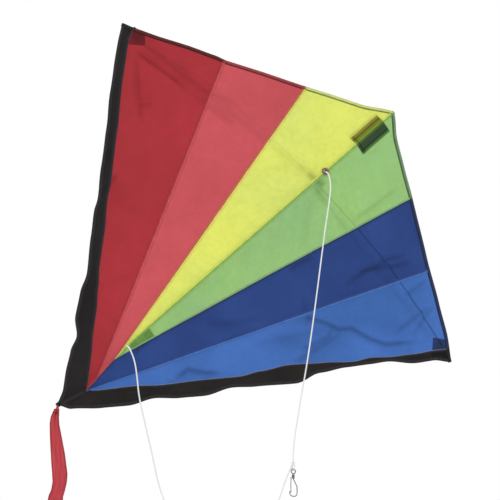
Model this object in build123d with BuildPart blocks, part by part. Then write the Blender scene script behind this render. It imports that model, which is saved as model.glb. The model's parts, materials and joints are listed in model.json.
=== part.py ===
from build123d import *

import os
from math import cos, pi, radians, sin, tan

# A diamond kite on a spine and two cross spar halves, held up at the place where they cross.
# +Z is up and -Y is the front, the side that the bridle is on. The origin is on the spine's axis
# at the crossing. Every sail piece is drawn flat in the plane of its own wing.

os.makedirs("parts", exist_ok=True)

# Overall sizes, millimetres and degrees
spine_length = 560.0
nose_to_cross = 145.6
left_reach = 298.0
right_reach = 282.0
spine_lean = 46.0
wing_sweep = 13.5
spar_skew = 4.0

# Rods and their fittings
rod_diameter = 3.0
running_gap = 0.05
cap_wall = 0.7
cap_length = 12.0
cap_end = 1.5
fitting_wall = 1.6
fitting_length = 7.0
fitting_gap = 0.4
socket_reach = 26.0
socket_depth = 18.0
socket_radius = 3.0
stop_wall = 1.1
stop_length = 4.0
nose_setback = 21.0
tail_setback = 6.0

# Cloth
cloth = 0.8
hem_width = 5.0
hem_thickness = 1.6
seam_half_width = 2.3
seam_gap = 0.3
sail_standoff = 4.0
border_at_tip = 16.0
fan_inset = 37.0
gore_splits = (0.333, 0.627)
pocket_size = 17.0
pocket_wall = 0.6
pocket_clear = 0.3
tape_half_width = 12.7
tape_length = 49.0
tape_top = 126.0
patch_width = 14.0
patch_length = 31.0
patch_above_tie = 3.0
tail_sleeve_length = 24.0
tail_sleeve_rise = 1.0
pocket_setback = 13.0
pocket_back_width = 6.8
pocket_inset = 1.68
pocket_back_inset = 0.42
tip_setback = 16.0

# Bridle and its eyelet
cord_diameter = 1.6
eyelet_along = 20.0
tie_to_tail = 103.9
tie_hole_clear = 0.9
tie_cord = 1.1
leg_sunk = 0.3
eyelet_outer = 9.0
eyelet_hole = 4.5
eyelet_flange = 0.6
eyelet_clear = 0.5
barrel_wall = 0.4
loop_wire = 1.2
loop_radius = 3.4
loop_sink = 1.2
knot_radius = 2.3
knot_height = 5.0
knot_rounding = 1.4
bend_share = 0.45
tow_place = (-31.0, -9.0, -333.5)

# Wire clip
wire = 1.1
eye_radius = 2.6
link_gap = 0.3
collar_radius = 1.5
collar_length = 5.0
clip_width = 8.6
clip_length = 19.0
hook_rise = 5.5
eye_slack = 0.5
stem_start = 0.2
collar_turns = 4
collar_drop = 1.0
bow_taper = 8.0
bow_bends = (4.0, 5.0)
hook_bend = 3.655
gate_wire = 0.9
gate_overlap = 1.5
gate_drop = 3.0
gate_gap = 0.8
gate_slope = 7.0
gate_bends = (3.0, 6.0)

# Tail
ribbon_width = 16.5
ribbon_thickness = 0.8
tail_loop_wire = 1.8
tail_loop_radius = 3.6
tail_eye_radius = 3.2
gather_radius = 4.2
gather_length = 9.0
gather_thickness = 1.4
gather_sunk = 0.6
ribbon_drop = 79.2
ribbon_sway = ((0.6, 16.2), (3.0, 41.2), (3.4, 61.2))
hank_length = 56.0
hank_thickness = 8.0
hank_corner = 2.0
tie_thickness = 1.2
tie_height = 5.0

rod = rod_diameter / 2
cap_radius = rod + cap_wall
cloth_back = sail_standoff - cloth / 2
cloth_front = sail_standoff + cloth / 2
tail_along = nose_to_cross - spine_length
tie_along = tail_along + tie_to_tail
side_start = seam_half_width + seam_gap

# Directions: across points to the right tip, along points to the nose, back is +Y.
lean = radians(spine_lean)
across = Vector(cos(lean), 0, -sin(lean))
along = Vector(sin(lean), 0, cos(lean))
back = Vector(0, 1, 0)
centre_plane = Plane(origin=(0, 0, 0), x_dir=across, z_dir=-back)


def wing_plane(side):
    """The plane of one wing: x to the right, y to the nose, z to the front."""
    sweep = radians(wing_sweep)
    x_dir = across * cos(sweep) + back * (side * sin(sweep))
    return Plane(origin=(0, 0, 0), x_dir=x_dir, z_dir=x_dir.cross(along))


def tip_point(side):
    reach = right_reach if side > 0 else left_reach
    skew = radians(spar_skew)
    return Vector(side * reach * cos(skew), side * reach * sin(skew))


def between(start, end, share):
    return start + (end - start) * share


def on_spine(distance):
    return along * distance


def save(part, name):
    part.label = name
    export_step(part, f"parts/{name}.step")


def corner_radii(points):
    """A share of the shorter run, divided by the tangent of half the turn, at each inner point."""
    vectors = [Vector(*p) for p in points]
    radii = []
    for before, here, after in zip(vectors, vectors[1:], vectors[2:]):
        turn = radians((here - before).get_angle(after - here))
        shorter = min((here - before).length, (after - here).length)
        radii.append(bend_share * shorter / tan(turn / 2))
    return radii


def cord(points, diameter, name):
    """A plain tube along straight runs joined by tangent arcs."""
    radii = corner_radii(points)
    with BuildPart() as tube:
        with BuildLine() as route:
            FilletPolyline(*points, radius=radii)
        start = Vector(*points[0])
        with BuildSketch(Plane(origin=start, z_dir=Vector(*points[1]) - start)):
            Circle(diameter / 2)
        sweep()
    length = route.wires()[0].length
    expected = pi * (diameter / 2) ** 2 * length
    share = round(tube.part.volume / expected, 3)
    print(name, "length", round(length, 1), "volume / section x length", share)
    print(name, "radii", [round(r, 1) for r in radii])
    return tube


def rod_plane(origin, direction):
    return Plane(origin=origin, x_dir=back, z_dir=direction)


# Spine: one rod from the nose sleeve to the tail sleeve, a cap on each end.
spine_top = nose_to_cross - nose_setback
spine_bottom = tail_along + tail_setback
with BuildPart() as spine_rod:
    with BuildSketch(rod_plane(on_spine(spine_bottom), along)):
        Circle(rod)
    extrude(amount=spine_top - spine_bottom)
save(spine_rod.part, "spine_rod")


def end_cap(tip, inward):
    """A closed cap whose bore holds the last of a rod that ends at tip."""
    with BuildPart() as cap:
        with BuildSketch(rod_plane(tip - inward * cap_end, inward)):
            Circle(cap_radius)
        extrude(amount=cap_length)
        with BuildSketch(rod_plane(tip, inward)):
            Circle(rod)
        extrude(amount=cap_length, mode=Mode.SUBTRACT)
    return cap


save(end_cap(on_spine(spine_top), -along).part, "nose_cap")
save(end_cap(on_spine(spine_bottom), along).part, "tail_cap")


def cloth_sleeve(start, length):
    """A cloth tube sewn behind the centre seam, round a capped rod end."""
    with BuildPart() as sleeve:
        with BuildSketch(rod_plane(on_spine(start), along)):
            Circle(cap_radius + pocket_clear + pocket_wall)
            Circle(cap_radius + pocket_clear, mode=Mode.SUBTRACT)
        extrude(amount=length)
    return sleeve


save(cloth_sleeve(tape_top - tape_length, tape_length).part, "nose_sleeve")
save(cloth_sleeve(tail_along + tail_sleeve_rise, tail_sleeve_length).part, "tail_sleeve")

# Two stop rings hold the pair of fittings on the spine.
stop_start = fitting_length + fitting_gap * 1.5
with BuildPart() as spine_stops:
    for start in (stop_start, -stop_start - stop_length):
        with BuildSketch(rod_plane(on_spine(start), along)):
            Circle(rod + stop_wall)
            Circle(rod, mode=Mode.SUBTRACT)
        extrude(amount=stop_length)
save(spine_stops.part, "spine_stops")

# Centre seam: the folded strip that both wings are sewn to, with a hole for each bridle tie.
# It widens to a disc that the eyelet is set in.
seam_middle = (nose_to_cross + tail_along) / 2
with BuildPart() as centre_seam:
    with BuildSketch(centre_plane.offset(cloth_back)):
        with Locations((0, seam_middle)):
            Rectangle(2 * seam_half_width, spine_length)
        with Locations((0, eyelet_along)):
            Circle(eyelet_outer / 2)
            Circle(eyelet_hole / 2 + barrel_wall, mode=Mode.SUBTRACT)
        with Locations((0, tie_along)):
            Circle(cord_diameter / 2 + tie_hole_clear, mode=Mode.SUBTRACT)
    extrude(amount=cloth)
save(centre_seam.part, "centre_seam")

# Eyelet: a flanged barrel from the front, and a washer that it is clenched over at the back.
with BuildPart() as eyelet:
    with BuildSketch(centre_plane.offset(cloth_front)):
        with Locations((0, eyelet_along)):
            Circle(eyelet_outer / 2)
    extrude(amount=eyelet_flange)
    with BuildSketch(centre_plane.offset(cloth_back - eyelet_flange)):
        with Locations((0, eyelet_along)):
            Circle(eyelet_hole / 2 + barrel_wall)
    extrude(amount=eyelet_flange + cloth)
    with BuildSketch(centre_plane.offset(cloth_back - eyelet_flange)):
        with Locations((0, eyelet_along)):
            Circle(eyelet_hole / 2)
    extrude(amount=2 * eyelet_flange + cloth, mode=Mode.SUBTRACT)
save(eyelet.part, "eyelet")

with BuildPart() as eyelet_washer:
    with BuildSketch(centre_plane.offset(cloth_back - eyelet_flange)):
        with Locations((0, eyelet_along)):
            Circle(eyelet_outer / 2)
            Circle(eyelet_hole / 2 + barrel_wall, mode=Mode.SUBTRACT)
    extrude(amount=eyelet_flange)
save(eyelet_washer.part, "eyelet_washer")

# Bridle ties: a turn of cord round the spine, where each leg starts.
tie_face = rod + tie_cord
for place, name in ((eyelet_along, "bridle_tie_upper"), (tie_along, "bridle_tie_lower")):
    with BuildPart() as tie:
        with BuildSketch(rod_plane(on_spine(place - cord_diameter), along)):
            Circle(tie_face)
            Circle(rod, mode=Mode.SUBTRACT)
        extrude(amount=2 * cord_diameter)
    save(tie.part, name)

# Bridle legs: one cord, tied at both ends and caught up in the tow knot between them.
upper_exit = on_spine(eyelet_along) - back * (tie_face - leg_sunk)
upper_route = [
    tuple(upper_exit),
    (14.8, -8.0, 12.6),
    (16.9, -10.6, 5.0),
    (18.3, -10.0, -9.0),
    (15.6, -9.3, -29.0),
    (10.6, -9.0, -60.0),
    (4.0, -9.0, -106.0),
    (-3.6, -9.0, -158.0),
    (-11.8, -9.0, -211.0),
    (-20.6, -9.0, -257.0),
    (-27.9, -9.0, -297.0),
    (-30.8, -9.0, -316.0),
    (-31.0, -9.0, -331.5),
]
lower_exit = on_spine(tie_along) - back * (tie_face - leg_sunk)
lower_route = [
    tuple(lower_exit),
    (lower_exit.X + 0.56, -8.2, lower_exit.Z - 1.91),
    (lower_exit.X + 3.46, -10.8, lower_exit.Z - 8.71),
    (lower_exit.X + 7.96, -10.2, lower_exit.Z - 19.31),
    (lower_exit.X + 10.76, -9.5, lower_exit.Z - 34.31),
    (-209.9, -9.0, -272.0),
    (-202.6, -9.0, -301.0),
    (-193.6, -9.0, -335.0),
    (-185.2, -9.0, -371.0),
    (-169.0, -9.0, -405.0),
    (-142.0, -9.0, -430.0),
    (-108.0, -9.0, -439.0),
    (-76.0, -9.0, -424.0),
    (-56.0, -9.0, -396.0),
    (-45.0, -9.0, -366.0),
    (-38.0, -9.0, -347.0),
    (-32.4, -9.0, -335.4),
]
save(cord(upper_route, cord_diameter, "bridle_upper_leg").part, "bridle_upper_leg")
save(cord(lower_route, cord_diameter, "bridle_lower_leg").part, "bridle_lower_leg")

# Tow knot, and under it the small loop that the clip hangs in. The loop stands in the YZ plane.
tow = Vector(*tow_place)
with BuildPart() as tow_knot:
    with BuildSketch(Plane(origin=tow - Vector(0, 0, knot_height / 2))):
        Circle(knot_radius)
    extrude(amount=knot_height)
    fillet(tow_knot.edges(), radius=knot_rounding)
save(tow_knot.part, "tow_knot")


def ring(centre, normal, radius, wire_diameter):
    """A round ring of wire or cord."""
    side = back if abs(normal.Y) < 0.5 else Vector(1, 0, 0)
    with BuildPart() as link:
        with BuildSketch(Plane(origin=centre + side * radius, x_dir=side, z_dir=normal.cross(side))):
            Circle(wire_diameter / 2)
        revolve(axis=Axis(origin=centre, direction=normal))
    return link


loop_centre = tow - Vector(0, 0, knot_height / 2 - loop_sink + loop_radius)
save(ring(loop_centre, Vector(1, 0, 0), loop_radius, loop_wire).part, "tow_loop")
clip_pivot = loop_centre - Vector(0, 0, loop_radius)

def facing_down(origin):
    return Plane(origin=origin, x_dir=(1, 0, 0), z_dir=(0, 0, -1))


# Wire clip: an eye in the XZ plane, a stem, and a long bow whose end hooks up inside the gate.
eye_lift = (loop_wire + wire) / 2 + link_gap + eye_slack
eye_centre = clip_pivot + Vector(0, 0, eye_lift - eye_radius)
stem_top = eye_centre - Vector(0, 0, eye_radius)
bow_top = stem_top - Vector(0, 0, collar_length + collar_drop)
bow_low = bow_top.Z - clip_length
half_bow = clip_width / 2
bow_points = [
    tuple(stem_top - Vector(0, 0, stem_start)),
    tuple(bow_top),
    (bow_top.X + half_bow, bow_top.Y, bow_top.Z - bow_taper),
    (bow_top.X + half_bow, bow_top.Y, bow_low),
    (bow_top.X - half_bow, bow_top.Y, bow_low),
    (bow_top.X - half_bow, bow_top.Y, bow_low + hook_rise),
]
with BuildPart() as clip_frame:
    with BuildLine():
        FilletPolyline(*bow_points, radius=[*bow_bends, hook_bend, hook_bend])
    with BuildSketch(facing_down(bow_points[0])):
        Circle(wire / 2)
    sweep()
    add(ring(eye_centre, Vector(0, 1, 0), eye_radius, wire).part)
save(clip_frame.part, "clip_frame")

# Collar: the turns of wire round the stem.
collar_top = stem_top.Z - collar_drop
with BuildPart() as clip_collar:
    for turn in range(collar_turns):
        height = collar_top - (turn + 0.5) * wire
        with BuildSketch(Plane(origin=(stem_top.X, stem_top.Y, height + wire / 2), z_dir=(0, 0, -1))):
            Circle(collar_radius)
            Circle(wire / 2, mode=Mode.SUBTRACT)
        extrude(amount=wire)
save(clip_collar.part, "clip_collar")

# Gate: a springy wire from beside the collar down to the inside of the hook.
gate_offset = collar_radius + gate_wire / 2 + gate_gap
gate_top = Vector(bow_top.X - gate_offset, bow_top.Y, collar_top - gate_drop)
gate_side = bow_top.X - half_bow + (wire + gate_wire) / 2 + link_gap
gate_points = [
    tuple(gate_top),
    (gate_top.X, gate_top.Y, gate_top.Z - gate_drop),
    (gate_side, gate_top.Y, bow_top.Z - gate_slope),
    (gate_side, gate_top.Y, bow_low + hook_rise - gate_overlap),
]
with BuildPart() as clip_gate:
    with BuildLine():
        FilletPolyline(*gate_points, radius=gate_bends)
    with BuildSketch(facing_down(gate_top)):
        Circle(gate_wire / 2)
    sweep()
save(clip_gate.part, "clip_gate")

# Tail loop, sewn into the tail corner. It stands in the YZ plane.
tail_corner = on_spine(tail_along)
tail_loop_centre = tail_corner + Vector(0, -sail_standoff, -tail_loop_radius - 1.0)
save(ring(tail_loop_centre, Vector(1, 0, 0), tail_loop_radius, tail_loop_wire).part, "tail_loop")
tail_pivot = tail_loop_centre - Vector(0, 0, tail_loop_radius)

# Tail: the ribbon's end is gathered round the loop, the ribbon hangs, and the rest is in a hank.
tail_lift = tail_loop_wire + link_gap
tail_eye_centre = tail_pivot + Vector(0, 0, tail_lift - tail_eye_radius)
gather_top = tail_eye_centre.Z - tail_eye_radius + gather_sunk
ribbon_top = gather_top - gather_length
hank_top = ribbon_top - ribbon_drop
with BuildPart() as tail_gather:
    with BuildSketch(Plane(origin=(tail_pivot.X, tail_pivot.Y, gather_top), z_dir=(0, 0, -1))):
        Circle(gather_radius / 2)
    with BuildSketch(Plane(origin=(tail_pivot.X, tail_pivot.Y, ribbon_top), z_dir=(0, 0, -1))):
        Ellipse(gather_radius, gather_thickness)
    loft()
    add(ring(tail_eye_centre, Vector(0, 1, 0), tail_eye_radius, tail_loop_wire).part)
save(tail_gather.part, "tail_gather")

ribbon_points = [
    (tail_pivot.X, ribbon_top),
    *((tail_pivot.X + sway, ribbon_top - drop) for sway, drop in ribbon_sway),
    (tail_pivot.X, hank_top),
]
with BuildPart() as tail_ribbon:
    ribbon_back = (0, tail_pivot.Y + ribbon_thickness / 2, 0)
    with BuildSketch(Plane(origin=ribbon_back, x_dir=(1, 0, 0), z_dir=(0, -1, 0))):
        with BuildLine():
            left_edge = Spline(*[(x - ribbon_width / 2, z) for x, z in ribbon_points])
            right_edge = Spline(*[(x + ribbon_width / 2, z) for x, z in ribbon_points])
            Line(left_edge @ 0, right_edge @ 0)
            Line(left_edge @ 1, right_edge @ 1)
        make_face()
    extrude(amount=ribbon_thickness)
save(tail_ribbon.part, "tail_ribbon")

hank_middle = hank_top - hank_length / 2
with BuildPart() as tail_hank:
    with BuildSketch(facing_down((tail_pivot.X, tail_pivot.Y, hank_top))):
        RectangleRounded(ribbon_width, hank_thickness, hank_corner)
    extrude(amount=hank_length)
save(tail_hank.part, "tail_hank")

tie_width = ribbon_width + 2 * tie_thickness
tie_depth = hank_thickness + 2 * tie_thickness
with BuildPart() as hank_tie:
    with BuildSketch(facing_down((tail_pivot.X, tail_pivot.Y, hank_middle + tie_height / 2))):
        RectangleRounded(tie_width, tie_depth, hank_corner + tie_thickness)
        RectangleRounded(ribbon_width, hank_thickness, hank_corner, mode=Mode.SUBTRACT)
    extrude(amount=tie_height)
save(hank_tie.part, "hank_tie")


# Wings. Each outline is drawn in the wing's own plane, x to the right, y towards the nose.
def plate(side, outline, height, thickness, cut=None):
    """A flat piece of cloth. It keeps clear of the centre seam and of the eyelet."""
    with BuildPart() as piece:
        with BuildSketch(wing_plane(side).offset(height)):
            with BuildLine():
                Polyline(*[(p.X, p.Y) for p in outline], close=True)
            make_face()
            if cut:
                with BuildLine(mode=Mode.PRIVATE) as cut_line:
                    Polyline(*[(p.X, p.Y) for p in cut], close=True)
                make_face(cut_line.edges(), mode=Mode.SUBTRACT)
            with Locations((0, seam_middle)):
                Rectangle(2 * side_start, spine_length + 4 * fan_inset, mode=Mode.SUBTRACT)
            with Locations((0, eyelet_along)):
                Circle(eyelet_outer / 2 + eyelet_clear, mode=Mode.SUBTRACT)
        extrude(amount=thickness)
    return piece


def rectangle_outline(side, inner, outer, low, high):
    return [Vector(side * x, y) for x, y in ((inner, low), (outer, low), (outer, high), (inner, high))]


def hem_outline(tip):
    """The strip along the leading edge, cut off along the spine and the trailing edge."""
    leading = (tip - nose).normalized()
    at_nose = radians(leading.get_angle(tail - nose))
    at_tip = radians(leading.get_angle(tip - tail))
    inner_nose = nose + (tail - nose).normalized() * (hem_width / sin(at_nose))
    inner_tip = tip + (tail - tip).normalized() * (hem_width / sin(at_tip))
    return [nose, tip, inner_tip, inner_nose]


def spar_fitting(root, outward):
    """A ring that turns on the spine, with a socket for the spar half."""
    with BuildPart() as fitting:
        with BuildSketch(rod_plane(root - along * (fitting_length / 2), along)):
            Circle(rod + fitting_wall)
        extrude(amount=fitting_length)
        with BuildSketch(rod_plane(root + outward * rod, outward)):
            Circle(socket_radius)
        extrude(amount=socket_reach - rod)
        with BuildSketch(rod_plane(root - along * fitting_length, along)):
            Circle(rod + running_gap)
        extrude(amount=2 * fitting_length, mode=Mode.SUBTRACT)
        with BuildSketch(rod_plane(root + outward * (socket_reach - socket_depth), outward)):
            Circle(rod)
        extrude(amount=socket_depth, mode=Mode.SUBTRACT)
    return fitting


def tip_pocket(side, outer_end, inward):
    """A cloth pocket sewn behind the tip, closed at its outer end, with the capped spar in it."""
    front = wing_plane(side).z_dir
    section = Plane(origin=outer_end, x_dir=front.cross(inward), z_dir=inward)
    deep = cap_radius + pocket_clear
    half = pocket_size / 2
    half_back = pocket_back_width / 2
    outer = [
        (-half, cloth_back),
        (half, cloth_back),
        (half_back, -deep - pocket_wall),
        (-half_back, -deep - pocket_wall),
    ]
    inner_half = half - pocket_inset
    inner_back = half_back - pocket_back_inset
    inner = [
        (-inner_half, cloth_back - pocket_wall),
        (inner_half, cloth_back - pocket_wall),
        (inner_back, -deep),
        (-inner_back, -deep),
    ]
    facing = 1 if section.y_dir.dot(front) > 0 else -1
    with BuildPart() as pocket:
        with BuildSketch(section):
            Polygon(*[(x, facing * y) for x, y in outer], align=None)
        extrude(amount=pocket_size)
        with BuildSketch(section.offset(pocket_wall)):
            Polygon(*[(x, facing * y) for x, y in inner], align=None)
        extrude(amount=pocket_size, mode=Mode.SUBTRACT)
    return pocket


nose = Vector(0, nose_to_cross)
tail = Vector(0, tail_along)
fan = Vector(0, tail_along + fan_inset)
gore_names = {
    1: ("panel_green", "panel_dark_blue", "panel_light_blue"),
    -1: ("panel_yellow", "panel_light_red", "panel_dark_red"),
}

for side, word in ((1, "right"), (-1, "left")):
    wing = wing_plane(side)
    tip = tip_point(side)
    hem = hem_outline(tip)
    border_corner = between(tip, nose, border_at_tip / (tip - nose).length)
    first, second = (between(nose, tip, share) for share in gore_splits)
    gores = ((nose, first), (first, second), (second, border_corner))
    for name, corners in zip(gore_names[side], gores):
        save(plate(side, [fan, *corners], cloth_back, cloth, cut=hem).part, name)
    border = [tail, tip, border_corner, fan]
    save(plate(side, border, cloth_back, cloth, cut=hem).part, f"border_{word}")
    save(plate(side, hem, cloth_back, hem_thickness).part, f"hem_{word}")

    tape = rectangle_outline(side, 0, tape_half_width, tape_top - tape_length, tape_top)
    save(plate(side, tape, cloth_back - pocket_wall, pocket_wall).part, f"nose_tape_{word}")

    # The two fittings stand side by side on the spine, the left one nearer to the nose.
    root = on_spine(-side * (fitting_length + fitting_gap) / 2)
    tip_place = wing.from_local_coords(tip)
    outward = (tip_place - root).normalized()
    save(spar_fitting(root, outward).part, f"spar_fitting_{word}")
    spar_start = root + outward * (socket_reach - socket_depth)
    spar_end = tip_place - outward * tip_setback
    with BuildPart() as spar:
        with BuildSketch(rod_plane(spar_start, outward)):
            Circle(rod)
        extrude(amount=(spar_end - spar_start).length)
    save(spar.part, f"cross_spar_{word}")
    save(end_cap(spar_end, -outward).part, f"tip_cap_{word}")
    save(tip_pocket(side, tip_place - outward * pocket_setback, -outward).part, f"tip_pocket_{word}")

# The patch that backs the green gore beside the lower tie.
patch_low = tie_along + patch_above_tie
patch = rectangle_outline(1, 0, patch_width, patch_low, patch_low + patch_length)
save(plate(1, patch, cloth_back - pocket_wall, pocket_wall).part, "tie_patch")
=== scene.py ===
import json
from math import atan2, cos, pi, radians, sin

import bpy
import numpy as np
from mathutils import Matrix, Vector, noise
from mathutils.geometry import delaunay_2d_cdt


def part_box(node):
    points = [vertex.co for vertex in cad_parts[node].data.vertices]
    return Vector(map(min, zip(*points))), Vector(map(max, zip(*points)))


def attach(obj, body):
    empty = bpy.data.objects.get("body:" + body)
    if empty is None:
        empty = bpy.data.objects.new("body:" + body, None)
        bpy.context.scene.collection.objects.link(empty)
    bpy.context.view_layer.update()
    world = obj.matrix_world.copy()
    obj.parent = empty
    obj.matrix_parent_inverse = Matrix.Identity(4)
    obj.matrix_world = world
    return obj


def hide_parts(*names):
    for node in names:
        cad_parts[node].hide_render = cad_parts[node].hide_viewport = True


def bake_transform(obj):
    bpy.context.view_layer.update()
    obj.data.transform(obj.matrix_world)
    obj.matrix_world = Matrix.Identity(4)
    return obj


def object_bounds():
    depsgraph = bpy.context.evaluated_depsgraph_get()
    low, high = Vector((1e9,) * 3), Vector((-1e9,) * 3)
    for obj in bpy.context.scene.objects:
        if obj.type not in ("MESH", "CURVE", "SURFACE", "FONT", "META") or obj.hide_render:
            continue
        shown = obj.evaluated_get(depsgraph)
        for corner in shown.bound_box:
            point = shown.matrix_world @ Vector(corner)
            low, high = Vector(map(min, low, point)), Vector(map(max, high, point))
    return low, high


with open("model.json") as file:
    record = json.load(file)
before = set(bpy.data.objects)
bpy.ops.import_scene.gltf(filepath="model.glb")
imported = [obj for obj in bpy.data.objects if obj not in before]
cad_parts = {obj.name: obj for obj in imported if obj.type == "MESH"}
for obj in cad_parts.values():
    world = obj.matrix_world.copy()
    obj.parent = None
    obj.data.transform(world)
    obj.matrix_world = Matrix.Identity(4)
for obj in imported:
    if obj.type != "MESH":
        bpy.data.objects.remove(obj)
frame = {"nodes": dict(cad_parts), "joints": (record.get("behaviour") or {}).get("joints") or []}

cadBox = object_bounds()
mm = 0.001
scene = bpy.context.scene

print("camera and light")

cameraSettings = {"place": (-0.76380, -1.78664, -0.67255), "aim": (-0.07847, 0.0, -0.09095), "lens": 126.89}
stageSettings = {"floorDrop": 0.60, "floorSize": 8.0, "paper": (0.93, 0.93, 0.93)}
lightSettings = {
    "sky": 0.56, "skySeen": 1.0,
    "key": {"place": (-2.4, -1.5, 1.9), "size": 1.0, "power": 60.0},
    "fill": {"place": (2.0, -2.0, 0.5), "size": 2.0, "power": 26.0},
    "back": {"place": (0.6, 2.0, 1.2), "size": 2.2, "power": 26.0},
}

cameraData = bpy.data.cameras.new("camera")
cameraData.lens = cameraSettings["lens"]
cameraData.sensor_width = 36
cameraData.clip_end = 50
camera = bpy.data.objects.new("camera", cameraData)
scene.collection.objects.link(camera)
camera.location = cameraSettings["place"]
camera.rotation_mode = "QUATERNION"
camera.rotation_quaternion = (Vector(cameraSettings["aim"]) - camera.location).to_track_quat("-Z", "Y")
scene.camera = camera
scene.view_settings.view_transform = "Standard"

world = bpy.data.worlds.new("studio")
scene.world = world
world.use_nodes = True
sky = world.node_tree
sky.nodes["Background"].inputs["Strength"].default_value = lightSettings["sky"]
seen = sky.nodes.new("ShaderNodeBackground")
seen.inputs["Strength"].default_value = lightSettings["skySeen"]
seen.inputs["Color"].default_value = (1, 1, 1, 1)
sky.nodes["Background"].inputs["Color"].default_value = (1, 1, 1, 1)
rays = sky.nodes.new("ShaderNodeLightPath")
either = sky.nodes.new("ShaderNodeMixShader")
sky.links.new(rays.outputs["Is Camera Ray"], either.inputs[0])
sky.links.new(sky.nodes["Background"].outputs[0], either.inputs[1])
sky.links.new(seen.outputs[0], either.inputs[2])
sky.links.new(either.outputs[0], sky.nodes["World Output"].inputs["Surface"])

for lightName in ("key", "fill", "back"):
    settings = lightSettings[lightName]
    area = bpy.data.lights.new(lightName, "AREA")
    area.size = settings["size"]
    area.energy = settings["power"]
    lamp = bpy.data.objects.new(lightName, area)
    scene.collection.objects.link(lamp)
    lamp.location = settings["place"]
    lamp.rotation_mode = "QUATERNION"
    lamp.rotation_quaternion = (-Vector(settings["place"])).to_track_quat("-Z", "Y")

floorHeight = cadBox[0].z - stageSettings["floorDrop"]
half = stageSettings["floorSize"] / 2
floorMesh = bpy.data.meshes.new("floor")
floorMesh.from_pydata([(-half, -half, floorHeight), (half, -half, floorHeight),
                       (half, half, floorHeight), (-half, half, floorHeight)], [], [(0, 1, 2, 3)])
floor = bpy.data.objects.new("floor", floorMesh)
scene.collection.objects.link(floor)
paper = bpy.data.materials.new("pale paper")
paper.use_nodes = True
paper.node_tree.nodes["Principled BSDF"].inputs["Base Color"].default_value = (*stageSettings["paper"], 1)
paper.node_tree.nodes["Principled BSDF"].inputs["Roughness"].default_value = 0.9
floorMesh.materials.append(paper)


# material helpers
def rgb(red, green, blue):
    # screen values 0-255 to the linear colour that a shader takes
    def linear(c):
        c /= 255
        return c / 12.92 if c <= 0.04045 else ((c + 0.055) / 1.055) ** 2.4
    return (linear(red), linear(green), linear(blue), 1.0)


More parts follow.
